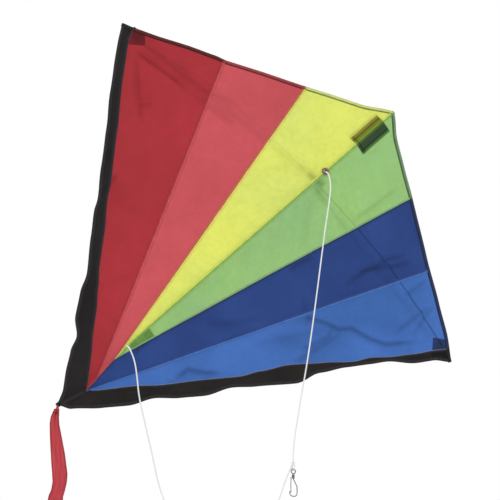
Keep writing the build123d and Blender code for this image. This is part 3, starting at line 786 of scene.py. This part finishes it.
def clothColour(t, base, drift, u, v, flat, spots=()):
    # dye that varies a little, with painted shadows of the tape, pockets and patch behind the cloth
    slow = t.remap(t.noise(flat, 9, 2), 0.35, 0.65, 0, 1)
    colour = t.mix(slow, base, drift)
    for scale, low, high in ((38, 0.95, 1.05), (160, 0.965, 1.035)):
        patchy = t.remap(t.noise(flat, scale, 3), 0.3, 0.7, low, high)
        colour = t.shade(colour, patchy)
    for spot in spots:
        colour = paintBackShadow(t, colour, spot, u, v)
    return colour


def paintBackShadow(t, colour, spot, u, v):
    # a painted shadow of a piece behind the cloth, multiplied into the colour
    settings = paintedBackShadows[spot]
    mask, du, dv = t.boxMask(u, v, [c * mm for c in settings["centre"]], [c * mm for c in settings["half"]],
                             settings["turn"])
    if spot == "tape":
        # painted shadow of the tape: its sewn edges are darker lines, and its middle is lighter than the side
        # over the green
        at = t.remap(du, -12.8 * mm, 12.8 * mm, 0, 1)
        left = t.ramp(at, [(0.0, (.52, .46, .28, 1)), (.11, (.40, .36, .16, 1)), (.17, (.17, .16, .04, 1)),
                           (.23, (.36, .36, .22, 1)), (.38, (.34, .42, .26, 1)), (.47, (.22, .32, .12, 1)),
                           (.54, (.16, .16, .22, 1)), (.76, (.16, .17, .22, 1)), (.82, (.06, .09, .06, 1)),
                           (.88, (.20, .26, .18, 1)), (.95, (.30, .38, .26, 1)), (1.0, (.36, .46, .32, 1))])
        low = t.remap(t.math("ABSOLUTE", t.math("ADD", dv, 20.5 * mm)), 0.6 * mm, 1.8 * mm, 0.55, 1.0)
        left = t.shade(left, low)
    else:
        rim = t.remap(t.math("MAXIMUM", t.math("ABSOLUTE", du), t.math("ABSOLUTE", dv)),
                      settings["half"][0] * 0.72 * mm, settings["half"][0] * 0.95 * mm, 1.0, 0.86)
        left = t.mix(1.0, settings["left"], t.join(rim, rim, rim), "MULTIPLY")
    colour = t.mix(mask, colour, t.mix(1.0, colour, left, "MULTIPLY"))
    return colour


def paintedRodShadow(t, u, v, stations, strength, halfWidth=0.9 * mm):
    # the painted soft shadow line of a rod behind the cloth, as 1 beside it and less on it
    line = None
    for start, end in zip(stations, stations[1:]):
        run = (Vector(end) - Vector(start)) * mm
        middle = (Vector(end) + Vector(start)) * mm / 2
        half = (run.length / 2 + 0.2 * mm, halfWidth)
        mask, _, _ = t.boxMask(u, v, (middle.x, middle.y), half, atan2(run.y, run.x), 1.1 * mm)
        line = mask if line is None else t.math("MAXIMUM", line, mask)
    return t.math("SUBTRACT", 1.0, t.math("MULTIPLY", line, strength))


def clothNormal(t, u, v, flat):
    size = clothSettings["weave"]
    warp = t.math("SINE", t.math("MULTIPLY", u, 2 * pi / size))
    weft = t.math("SINE", t.math("MULTIPLY", v, 2 * pi / size))
    weave = t.math("MULTIPLY", warp, weft)
    wrinkle = t.noise(flat, 46, 4, 0.5, 0.6)
    return t.bump(weave, clothSettings["weaveDepth"], t.bump(wrinkle, clothSettings["wrinkleDepth"]))


def clothMaterial(name, base, drift, spots=(), rods=(), thin=None):
    t = Tree(name)
    flat = t.attribute("flat")
    u, v, creaseShade = t.split(flat)
    flat = t.join(u, v)
    colour = clothColour(t, base, drift, u, v, flat, spots)
    # painted shade along the creases
    creaseShadeFactor = t.math("SUBTRACT", 1.0, creaseShade)
    colour = t.shade(colour, creaseShadeFactor)
    # painted shadow lines of the rods behind the cloth
    for stations, strength in rods:
        shade = paintedRodShadow(t, u, v, stations, strength)
        colour = t.shade(colour, shade)
    roughness = t.remap(t.noise(flat, 70, 2), 0.3, 0.7, clothSettings["roughness"] - .07,
                        clothSettings["roughness"] + .08)
    return t.finish(colour, roughness, clothNormal(t, u, v, flat), clothSettings["specular"],
                    clothSettings["sheen"], thin=clothSettings["thin"] if thin is None else thin)


# where the spars lie behind the cloth, for their painted shadow lines
leftSpar = ((-10, 1), (-70, 4), (-104, 4), (-175, -1), (-217, -13), (-258, -22))
rightSpar = ((10, 2), (34, 6), (79, 13), (128, 20), (178, 22), (213, 22.5), (258, 21))
# painted shadows on each panel: of the pieces behind it and of the rods, with how dark each rod's shadow is
panelExtras = {
    "panelYellow": {"spots": ("tape",), "rods": ((leftSpar, .08),)},
    "panelLightRed": {"rods": ((leftSpar, .08),)},
    "panelDarkRed": {"spots": ("leftPocket",), "rods": ((leftSpar, .10),)},
    "panelGreen": {"spots": ("tape", "patch"), "rods": ((rightSpar, .22),)},
    "panelDarkBlue": {"rods": ((rightSpar, .44),)},
    "panelLightBlue": {"spots": ("rightPocket",), "rods": ((rightSpar, .52),)},
    "borderLeft": {"spots": ("leftPocket",), "thin": 0.12},
    "borderRight": {"spots": ("rightPocket",), "thin": 0.12},
}

print("sail panels")

leftPieces = ("panelYellow", "panelLightRed", "panelDarkRed", "borderLeft")
for name, loop in gores.items():
    settings = clothSettings[name]
    material = clothMaterial(f"nylon {name}", settings["colour"], settings["drift"], **panelExtras[name])
    piece = cutCloth(name, loop, material)
    side = "left" if name in leftPieces else "right"
    foldsWith(piece, side)
    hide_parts(settings["node"])


# seams, hems and rolled edges
print("seams and hems")

seamProfile = [(-2.4, -0.02), (-2.2, 0.30), (-1.5, 0.52), (0.0, 0.42), (1.5, 0.52), (2.2, 0.30), (2.4, -0.02)]
hemProfile = [(-0.25, 0.0), (0.15, 0.75), (1.3, 1.1), (3.0, 0.95), (4.3, 0.55), (5.0, 0.12),
              (4.3, -0.35), (3.0, -0.75), (1.3, -0.9), (0.15, -0.6)]
rollProfile = [(-0.2, 0.0), (0.1, 0.5), (1.0, 0.75), (2.4, 0.65), (3.4, 0.35), (3.9, 0.08),
               (3.4, -0.3), (2.4, -0.55), (1.0, -0.65), (0.1, -0.4)]
bindProfile = [(-0.4, 0.02), (-0.2, 0.35), (0.8, 0.52), (2.2, 0.42), (3.0, 0.05)]
stitchSettings = {"pitch": 3.0 * mm, "length": 0.72, "half": 0.24 * mm}


def stitches(t, run, acrossBand, rows):
    # dashes of thread along each row
    beat = t.math("FRACT", t.math("DIVIDE", run, stitchSettings["pitch"]))
    dash = t.math("LESS_THAN", beat, stitchSettings["length"])
    rowsMask = None
    for row in rows:
        away = t.math("ABSOLUTE", t.math("SUBTRACT", acrossBand, row * mm))
        near = t.math("LESS_THAN", away, stitchSettings["half"])
        rowsMask = near if rowsMask is None else t.math("MAXIMUM", rowsMask, near)
    return t.math("MULTIPLY", dash, rowsMask)


def sewnMaterial(name, acrossStops, width, rows, thread, zones=None, zoneLength=1.0, spots=()):
    # a band of folded cloth: its colours across (0 at one edge, 1 at the other), stitches, and zones along it
    t = Tree(name)
    flat = t.attribute("flat")
    u, v, _ = t.split(flat)
    run, x, _ = t.split(t.attribute("run"))
    low, high = width
    share = t.remap(x, low * mm, high * mm, 0.0, 1.0)
    colour = t.ramp(share, acrossStops)
    if zones:
        way = t.math("DIVIDE", run, zoneLength * mm)
        colour = t.mix(1.0, t.ramp(way, zones), colour, "MULTIPLY")
    patchy = t.remap(t.noise(flat, 120, 3), 0.3, 0.7, 0.88, 1.10)
    colour = t.shade(colour, patchy)
    sewn = stitches(t, run, x, rows)
    colour = t.mix(t.math("MULTIPLY", sewn, 0.75), colour, thread)
    for spot in spots:
        colour = paintBackShadow(t, colour, spot, u, v)
    pucker = t.noise(t.join(t.math("MULTIPLY", run, 0.6), x, 0.0), 420, 2)
    normal = t.bump(sewn, 0.22 * mm, t.bump(pucker, 0.35 * mm, clothNormal(t, u, v, flat)))
    return t.finish(colour, 0.6, normal, 0.18, 0.05, thin=0.1)


def stand(piece, side, nodes=()):
    # a piece of one wing's side has its place baked in, any other rides on the body that side names
    if side in ("left", "right"):
        foldsWith(piece, side)
    else:
        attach(piece, side)
    if nodes:
        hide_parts(*nodes)


seamSettings = {
    # colours from the line's right side to its left side, as one looks along it: the two cloths where they
    # overlap, with a painted highlight and a painted shade line along the ridge
    "yellowRed": {"side": "left", "slot": "cloth_yellow", "thread": rgb(196, 170, 90), "colours": [
        (0.0, rgb(206, 88, 92)), (.22, rgb(176, 84, 66)), (.36, rgb(128, 92, 44)), (.48, rgb(226, 150, 92)),
        (.68, rgb(248, 214, 122)), (.86, rgb(236, 236, 112)), (1.0, rgb(226, 232, 104))]},
    "redRed": {"side": "left", "slot": "cloth_light_red", "thread": rgb(160, 60, 64), "colours": [
        (0.0, rgb(172, 50, 58)), (.35, rgb(164, 46, 54)), (.5, rgb(184, 64, 70)), (.62, rgb(206, 90, 96)),
        (1.0, rgb(206, 88, 96))]},
    "greenBlue": {"side": "right", "slot": "cloth_green", "thread": rgb(60, 84, 96), "colours": [
        (0.0, rgb(156, 202, 122)), (.3, rgb(150, 184, 140)), (.42, rgb(120, 150, 138)),
        (.55, rgb(20, 36, 66)),
        (.8, rgb(32, 54, 104)), (1.0, rgb(46, 74, 138))]},
    "blueBlue": {"side": "right", "slot": "cloth_dark_blue", "thread": rgb(44, 72, 130), "colours": [
        (0.0, rgb(46, 74, 138)), (.35, rgb(42, 69, 130)), (.5, rgb(50, 84, 150)), (.62, rgb(80, 124, 200)),
        (1.0, rgb(74, 118, 192))]},
    "foot": {"side": "frame", "slot": "cloth_light_red", "thread": rgb(90, 50, 60), "colours": [
        (0.0, rgb(190, 76, 84)), (.35, rgb(150, 92, 98)), (.5, rgb(70, 44, 58)), (.65, rgb(18, 26, 62)),
        (1.0, rgb(40, 66, 124))]},
    "spine": {"side": "frame", "slot": "cloth_yellow", "thread": rgb(178, 190, 84), "colours": [
        (0.0, rgb(220, 230, 104)), (.28, rgb(214, 232, 96)), (.42, rgb(196, 222, 92)),
        (.52, rgb(142, 166, 66)),
        (.64, rgb(128, 166, 82)), (.8, rgb(150, 196, 110)), (1.0, rgb(158, 204, 122))]},
}


for seamName, settings in seamSettings.items():
    # the nose tape lies behind the spine seam as well, so its painted shadow goes on the seam too
    material = sewnMaterial(f"seam {seamName}", settings["colours"], (-2.4, 2.4), (-1.5, 1.5),
                            settings["thread"], spots=("tape",) if seamName == "spine" else ())
    line = seamLines[seamName]
    if seamName == "spine":
        above = line[line[:, 1] > eyeletPlace[1] + 2.6]
        below = line[line[:, 1] < eyeletPlace[1] - 2.6]
        upper = stripAlong("seamSpineUpper", above, seamProfile, material, lift=0.15)
        lower = stripAlong("seamSpineLower", below, seamProfile, material, lift=0.15, taper=90)
        stand(upper, "frame", ("centre_seam",))
        stand(lower, "frame", ())
    else:
        strip = stripAlong("seam" + seamName[0].upper() + seamName[1:], line[1:], seamProfile, material,
                           lift=0.12, taper=120, slim=0.35)
        stand(strip, settings["side"], ())

hemSettings = {
    # painted shade and light across the hem, multiplied into its zone colours: a light band and a dark painted
    # shade line by its stitches
    "across": [(0.0, (.42, .42, .42, 1)), (.10, (.80, .80, .80, 1)), (.30, (1, 1, 1, 1)),
               (.58, (.96, .96, .96, 1)),
               (.74, (.50, .50, .40, 1)), (.90, (.42, .42, .30, 1)), (1.0, (.7, .7, .6, 1))],
    "left": {"node": "hem_left", "slot": "hem_left_cloth", "line": leftLeading, "side": 1.0, "colours": [
        rgb(206, 218, 128), rgb(160, 62, 66), rgb(96, 34, 38), rgb(34, 31, 34)], "at": (0, *leftSeams)},
    "right": {"node": "hem_right", "slot": "hem_right_cloth", "line": rightLeading, "side": -1.0, "colours": [
        rgb(116, 150, 108), rgb(44, 54, 96), rgb(42, 56, 98), rgb(34, 31, 34)], "at": (0, *rightSeams)},
}
for side in ("left", "right"):
    settings = hemSettings[side]
    line = settings["line"][1]
    zones = []
    for k, (share, colour) in enumerate(zip(settings["at"], settings["colours"])):
        zones.append((max(0.0, share - .004), settings["colours"][k - 1] if k else colour))
        zones.append((share + .004, colour))
    length = float(np.sum(np.linalg.norm(np.diff(line, axis=0), axis=1)))
    material = sewnMaterial(f"hem {side}", hemSettings["across"], (0.0, 5.0), (4.0,), rgb(60, 56, 50), zones,
                            length)
    hem = stripAlong(f"hem{side.capitalize()}", line, hemProfile, material, closed=True, side=settings["side"])
    stand(hem, side, (settings["node"],))

blackAcross = [(0.0, rgb(28, 25, 28)), (.25, rgb(46, 42, 45)), (.7, rgb(38, 34, 36)), (.85, rgb(20, 17, 19)),
               (1.0, rgb(34, 31, 33))]
rolled = sewnMaterial("rolled edge", blackAcross, (-0.2, 3.9), (3.1,), rgb(66, 62, 64))
for side, line in (("left", leftTrailing[1]), ("right", rightTrailing[1])):
    roll = stripAlong(f"edgeRoll{side.capitalize()}", line[1:-1], rollProfile, rolled, closed=True, side=1.0)
    stand(roll, side, ())

# a pale painted highlight along the binding's edge on the gore side, then the black
bindColours = {"left": [(0.0, rgb(120, 70, 78)), (.18, rgb(74, 52, 58)), (.34, rgb(26, 22, 24)),
                        (1.0, rgb(38, 34, 36))],
               "right": [(0.0, rgb(126, 142, 178)), (.2, rgb(84, 92, 116)), (.36, rgb(22, 22, 28)),
                         (1.0, rgb(38, 34, 36))]}
for side, line, turn in (("left", leftBorder, -1.0), ("right", rightBorder, 1.0)):
    material = sewnMaterial(f"binding {side}", bindColours[side], (-0.4, 3.0), (1.2,), rgb(58, 54, 58))
    band = stripAlong(f"binding{side.capitalize()}", line[:-1], bindProfile, material, lift=0.1, side=turn)
    stand(band, side, ())
mitreBand = stripAlong("mitreSeam", mitre[1:-1], [(-2.0, 0), (-1.6, .3), (0, .4), (1.6, .3), (2.0, 0)],
                       sewnMaterial("mitre", blackAcross, (-2, 2), (-1.2, 1.2), rgb(60, 56, 58)), lift=0.1)
stand(mitreBand, "frame", ())

print("soft pieces on the back")

flatBand = [(-1.0, -1.3), (-.9, -1.05), (0, -1.0), (.9, -1.05), (1.0, -1.3), (.9, -1.75), (0, -1.9),
            (-.9, -1.75)]
pocketBand = [(-7.4, -1.25), (-7.1, -1.0), (0, -.95), (6.6, -1.0), (6.9, -1.25), (6.6, -1.75), (5.2, -2.1),
              (3.7, -3.2), (2.7, -5.2), (1.3, -6.7), (-1.3, -6.7), (-2.7, -5.2), (-3.7, -3.2), (-5.4, -2.1),
              (-7.1, -1.75)]
sleeveBand = [(3.05 * cos(a) + .18 * cos(3 * a), -4.0 + 3.05 * sin(a)) for a in (pi * k / 8 for k in range(16))]
backSettings = {
    # name: node, body, slot, the line it is sewn along, its section and half width, all in millimetres
    "noseSleeve": ("nose_sleeve", "frame", "tape_black", [(0, 126), (0, 77)], sleeveBand, 1.0),
    "tailSleeve": ("tail_sleeve", "frame", "cloth_black", [(0, -389.4), (0, -413.4)], sleeveBand, 1.0),
    "noseTapeLeft": ("nose_tape_left", "left_wing", "tape_black", [(-8.4, 126), (-8.4, 77)], flatBand, 5.1),
    "noseTapeRight": ("nose_tape_right", "right_wing", "tape_black", [(8.4, 126), (8.4, 77)], flatBand, 5.1),
    "tipPocketLeft": ("tip_pocket_left", "left_wing", "cloth_black", "tip_pocket_left", pocketBand, 1.0),
    "tipPocketRight": ("tip_pocket_right", "right_wing", "cloth_black", "tip_pocket_right", pocketBand, 1.0),
    "tiePatch": ("tie_patch", "right_wing", "cloth_black", [(9.1, -276.5), (9.1, -307.5)], flatBand, 5.8),
}
backColours = {"tape_black": rgb(36, 35, 38), "cloth_black": rgb(38, 36, 38)}


def webbingMaterial(name, colour):
    # a coarser woven tape
    t = Tree(name)
    place = t.place()
    x, _, z = t.split(place)
    size = 2 * pi / (0.9 * mm)
    warp = t.math("SINE", t.math("MULTIPLY", t.math("ADD", x, z), size))
    weft = t.math("SINE", t.math("MULTIPLY", t.math("SUBTRACT", x, z), size))
    weave = t.math("MULTIPLY", warp, weft)
    shade = t.remap(weave, -1, 1, 0.82, 1.12)
    patchy = t.remap(t.noise(place, 90, 3), 0.3, 0.7, 0.86, 1.12)
    shade = t.math("MULTIPLY", shade, patchy)
    tinted = t.shade(colour, shade)
    normal = t.bump(weave, 0.14 * mm, t.bump(t.noise(place, 260, 3), 0.2 * mm))
    return t.finish(tinted, 0.72, normal, 0.25, 0.12)


pocketHalf = 8.5        # half of a tip pocket's length


def pocketLine(node):
    # along the spar, from the pocket's inner edge to its outer one
    side = -1 if node.endswith("left") else 1
    places = np.array(flatCorners(node, side)) / mm
    middle = (places.min(0) + places.max(0)) / 2
    tip = corners["leftTip" if side < 0 else "rightTip"]
    way = tip / np.linalg.norm(tip)
    return [middle - way * pocketHalf, middle + way * pocketHalf]


bandSteps, wander = 28, 0.16 * mm       # along each band, and how uneven its cloth lies
webbing = {name: webbingMaterial(f"webbing {name}", colour) for name, colour in backColours.items()}
for name, (node, body, slotName, line, section, halfWidth) in backSettings.items():
    ends = pocketLine(line) if isinstance(line, str) else [np.array(p, float) for p in line]
    stations = np.array([ends[0] + (ends[1] - ends[0]) * k / bandSteps for k in range(bandSteps + 1)])
    band = stripAlong(name, stations, [(x * halfWidth, z) for x, z in section], webbing[slotName], closed=True)
    for p in band.data.vertices:
        p.co += Vector((0, 1, 0)) * wander * noise.noise(p.co * 260)
    stand(band, body, (node,))

print("knots and ties")


def centreOf(node):
    low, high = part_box(node)
    return (low + high) / 2


def coil(name, centre, axis, radii, turns, length, thickness, material, start=0.0, perTurn=10):
    # turns of cord round an axis
    axis = Vector(axis).normalized()
    first = axis.cross(back).normalized()
    second = axis.cross(first)
    count = int(turns * perTurn)
    points = []
    for k in range(count + 1):
        a = start + 2 * pi * k / perTurn
        lift = length * (k / count - 0.5)
        wide = 1.0 + 0.05 * noise.noise(Vector((k * 0.4, turns, 1)))
        points.append(centre + first * (radii[0] * wide * cos(a)) + second * (radii[1] * wide * sin(a))
                      + axis * lift)
    return nurbsCord(name, points, thickness, material)


def trefoil(name, centre, size, thickness, material):
    points = []
    for k in range(24):
        a = 2 * pi * k / 24
        points.append(centre + Vector(((sin(a) + 2 * sin(2 * a)) / 3, -sin(3 * a) * 0.42,
                                       (cos(a) - 2 * cos(2 * a)) / 3)) * size)
    return nurbsCord(name, points, thickness, material, closed=True)


tieSettings = {"radius": 2.05 * mm, "turns": 2.6, "length": 2.0 * mm, "thickness": 1.2 * mm}
ties = {}
for name, node in (("tieUpper", "bridle_tie_upper"), ("tieLower", "bridle_tie_lower")):
    ties[name] = coil(name, centreOf(node), along, (tieSettings["radius"],) * 2, tieSettings["turns"],
                      tieSettings["length"], tieSettings["thickness"], whiteCord, start=1.2)
    stand(ties[name], "frame", (node,))

towKnot = trefoil("towKnot", centreOf("tow_knot"), 1.65 * mm, 1.35 * mm, whiteCord)
stand(towKnot, "frame", ("tow_knot",))


def ringPoints(node, wire, sway, beats):
    # a loop of cord that fills its place, a little uneven
    low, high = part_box(node)
    middle, half = (low + high) / 2, (high - low) / 2
    return [middle + Vector((sway * sin(beats * a), (half.y - wire / 2) * ringSpread * cos(a),
                             (half.z - wire / 2) * ringSpread * sin(a)))
            for a in (2 * pi * k / 10 for k in range(10))]


ringSpread = 1.08
towLoop = nurbsCord("towLoop", ringPoints("tow_loop", 1.2 * mm, 0.15 * mm, 3), 1.2 * mm, whiteCord,
                    closed=True)
stand(towLoop, "frame", ("tow_loop",))

print("tail ribbon")

tailSettings = {
    "width": 16.5, "runs": 22, "columns": 9, "front": -4.0, "between": 4, "along": 8,
    "hankTop": 2.2, "hankFoot": 2.0, "hankSide": 0.6, "pleat": 2.4, "pleatWaves": 2.5,
    "curl": 1.3, "curlInHank": 0.12,
    # centre line from the loop down: x, z, width and twist in degrees, in millimetres
    "hanging": [(-298.4, -291.2, 5.0, 0), (-299.4, -295.0, 7.2, 8), (-300.6, -301.0, 10.0, 14),
                (-300.6, -308.0, 12.2, 18), (-299.0, -319.0, 14.0, 14), (-297.5, -329.0, 14.6, 6),
                (-295.8, -340.0, 15.0, -10), (-294.6, -350.0, 15.6, -16), (-293.2, -360.0, 16.2, -8),
                (-293.0, -369.0, 16.4, 10), (-294.6, -378.0, 16.5, 16), (-297.4, -386.0, 16.5, 6)],
}
hankLow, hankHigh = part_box("tail_hank")


def tailRows():
    # one row across the ribbon per step of its length: middle, direction of the width, width, pleat
    settings = tailSettings
    rows = []
    keys = settings["hanging"]
    for k in range(len(keys) - 1):
        for j in range(settings["between"]):
            s = j / settings["between"]
            mixed = [a + (b - a) * s for a, b in zip(keys[k], keys[k + 1])]
            place = Vector((mixed[0], settings["front"], mixed[1])) * mm
            rows.append((place, radians(mixed[3]), mixed[2]))
    middle = (hankLow + hankHigh) / 2
    top, bottom = hankHigh.z - settings["hankTop"] * mm, hankLow.z + settings["hankFoot"] * mm
    runs = settings["runs"]
    deep = (hankHigh.y - hankLow.y) / 2 - settings["hankSide"] * mm
    for k in range(runs):
        y = middle.y - deep + 2 * deep * k / (runs - 1)
        high = top - 1.8 * mm * abs(noise.noise(Vector((k * 1.7, 3, 0))))
        low = bottom + 2.2 * mm * abs(noise.noise(Vector((k * 1.3, 9, 0))))
        start, end = (high, low) if k % 2 == 0 else (low, high)
        side = 0.5 * mm * noise.noise(Vector((k * 2.1, 0, 4)))
        for j in range(settings["along"] + 1):
            s = j / settings["along"]
            x = middle.x + side + 0.25 * mm * sin(s * pi * 2 + k)
            rows.append((Vector((x, y + 0.12 * mm * sin(s * pi), start + (end - start) * s)),
                         radians(1.6 * noise.noise(Vector((k, s, 2)))), settings["width"]))
    return rows


def tailMaterial():
    t = Tree("red tail cloth")
    flat = t.attribute("flat")
    u, v, _ = t.split(flat)
    streak = t.noise(t.join(t.math("MULTIPLY", u, 14), v), 30, 3)
    colour = t.ramp(streak, [(.25, rgb(164, 50, 60)), (.5, rgb(192, 66, 74)), (.8, rgb(206, 88, 88))])
    wide = tailSettings["width"]
    edge = t.remap(t.math("ABSOLUTE", u), wide * .36 * mm, wide * .5 * mm, 1.0, .62)
    colour = t.shade(colour, edge)
    hem = stitches(t, v, u, (-6.9, 6.9))
    colour = t.mix(t.math("MULTIPLY", hem, .6), colour, rgb(140, 44, 54))
    normal = t.bump(t.math("SUBTRACT", edge, hem), 0.2 * mm, clothNormal(t, u, v, flat))
    return t.finish(colour, 0.55, normal, 0.2, 0.06, thin=0.3)


rows = tailRows()
columns = tailSettings["columns"]
places, flat = [], []
length = 0.0
for k, (middle, turn, width) in enumerate(rows):
    if k:
        length += (middle - rows[k - 1][0]).length
    shrink = width / tailSettings["width"]
    pleat = tailSettings["pleat"] * mm * max(0.0, 1 - shrink) ** 0.8
    below = min(1, max(0, (-middle.z - .300) * 40))     # no curl at the gather, all of it soon after
    loose = 1.0 if middle.z > hankHigh.z else tailSettings["curlInHank"]
    curl = tailSettings["curl"] * mm * noise.noise(Vector((length * 14, 0, 7))) * below * loose
    for j in range(columns):
        s = 2 * j / (columns - 1) - 1
        wide = Vector((cos(turn), sin(turn), 0)) * (s * width / 2 * mm)
        y = pleat * cos(s * pi * tailSettings["pleatWaves"]) + curl * (1 - s * s * 1.6)
        places.append(middle + wide + Vector((0, y, 0)))
        flat.append((s * tailSettings["width"] / 2 * mm, length))
faces = [(k * columns + j, k * columns + j + 1, (k + 1) * columns + j + 1, (k + 1) * columns + j)[::-1]
         for k in range(len(rows) - 1) for j in range(columns - 1)]
redTail = tailMaterial()
tailLoop = nurbsCord("tailLoop", ringPoints("tail_loop", 1.6 * mm, 0.1 * mm, 2), 1.5 * mm, redTail,
                     closed=True)
stand(tailLoop, "frame", ("tail_loop",))
ribbon = meshPiece("tailRibbon", places, faces, redTail, {"flat": flat})
stand(ribbon, "tail", ("tail_gather", "tail_ribbon", "tail_hank"))
print("   tail length", round(length, 3))

hankTieSettings = {"turns": 3.2, "inset": .6 * mm, "thickness": 1.1 * mm, "shorter": 1.2 * mm, "perTurn": 12}
tieLow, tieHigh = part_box("hank_tie")
inset = hankTieSettings["inset"]
tieRadii = ((tieHigh.x - tieLow.x) / 2 - inset, (tieHigh.y - tieLow.y) / 2 - inset)
hankTie = coil("hankTie", centreOf("hank_tie"), (0, 0, 1), tieRadii, hankTieSettings["turns"],
               tieHigh.z - tieLow.z - hankTieSettings["shorter"], hankTieSettings["thickness"], whiteCord,
               perTurn=hankTieSettings["perTurn"])
stand(hankTie, "tail", ("hank_tie",))
gatherX, gatherZ = tailSettings["hanging"][1][:2]
gatherTop = Vector((gatherX * mm, tailSettings["front"] * mm, gatherZ * mm + 1.2 * mm))
gatherWrap = coil("gatherWrap", gatherTop, (0.15, 0, 1), (2.4 * mm, 2.3 * mm), 4.2, 2.8 * mm, 0.7 * mm,
                  redTail)
stand(gatherWrap, "tail", ())

# rods, caps, fittings and metal
print("hard pieces")

hardSettings = {
    # the finish's two colours, least and most roughness, metal and coat
    "rod": {"colour": rgb(30, 30, 33), "light": rgb(52, 51, 54),
        "rough": (.28, .46), "metal": 0.0, "coat": 0.25},
    "vinyl": {"colour": rgb(22, 22, 24), "light": rgb(38, 38, 40),
        "rough": (.42, .62), "metal": 0.0, "coat": 0.0},
    "eyelet": {"colour": rgb(112, 92, 70), "light": rgb(150, 128, 98),
        "rough": (.26, .5), "metal": 0.85, "coat": 0.0},
    "wire": {"colour": rgb(88, 88, 92), "light": rgb(150, 150, 154),
        "rough": (.2, .42), "metal": 0.95, "coat": 0.0},
}


def hardMaterial(name, settings, streakAxis=None):
    t = Tree(name)
    place = t.place()
    if streakAxis is not None:      # fine fibres along a rod
        x, y, z = t.split(place)
        a = t.math("ADD", t.math("MULTIPLY", x, streakAxis[0]), t.math("MULTIPLY", z, streakAxis[2]))
        b = t.math("SUBTRACT", t.math("MULTIPLY", x, streakAxis[2]), t.math("MULTIPLY", z, streakAxis[0]))
        place = t.join(t.math("MULTIPLY", a, 0.03), b, y)
    grain = t.noise(place, 700, 3)
    smear = t.noise(t.place(), 60, 3)
    colour = t.mix(t.remap(grain, .35, .7, 0, 1), settings["colour"], settings["light"])
    dull = t.remap(smear, .3, .7, .86, 1.08)
    colour = t.shade(colour, dull)
    roughness = t.remap(smear, .3, .7, *settings["rough"])
    normal = t.bump(grain, 0.03 * mm, t.bump(smear, 0.05 * mm))
    return t.finish(colour, roughness, normal, 0.5, metallic=settings["metal"], coat=settings["coat"])


hardNodes = {
    "rod": ("spine_rod",), "rodLeft": ("cross_spar_left",), "rodRight": ("cross_spar_right",),
    "vinyl": ("nose_cap", "tail_cap", "tip_cap_left", "tip_cap_right",
              "spar_fitting_left", "spar_fitting_right",
              "spine_stops"),
    "eyelet": ("eyelet", "eyelet_washer"), "wire": ("clip_frame", "clip_collar", "clip_gate"),
}
rodAxis = {"rod": tuple(along),
           "rodLeft": tuple((inSpace([corners["leftTip"]]) - inSpace([(-20, 0)]))[0]),
           "rodRight": tuple((inSpace([corners["rightTip"]]) - inSpace([(20, 0)]))[0])}
for finishName, nodeNames in hardNodes.items():
    kind = "rod" if finishName.startswith("rod") else finishName
    axis = rodAxis.get(finishName)
    if axis is not None:
        axis = tuple(Vector(axis).normalized())
    material = hardMaterial(f"{finishName} finish", hardSettings[kind], axis)
    for node in nodeNames:
        data = frame["nodes"][node].data
        data.materials.clear()
        data.materials.append(material)


# what is soft, the sizes, and the end
for legName in ("upper", "lower"):
    settings = cordSettings[legName]
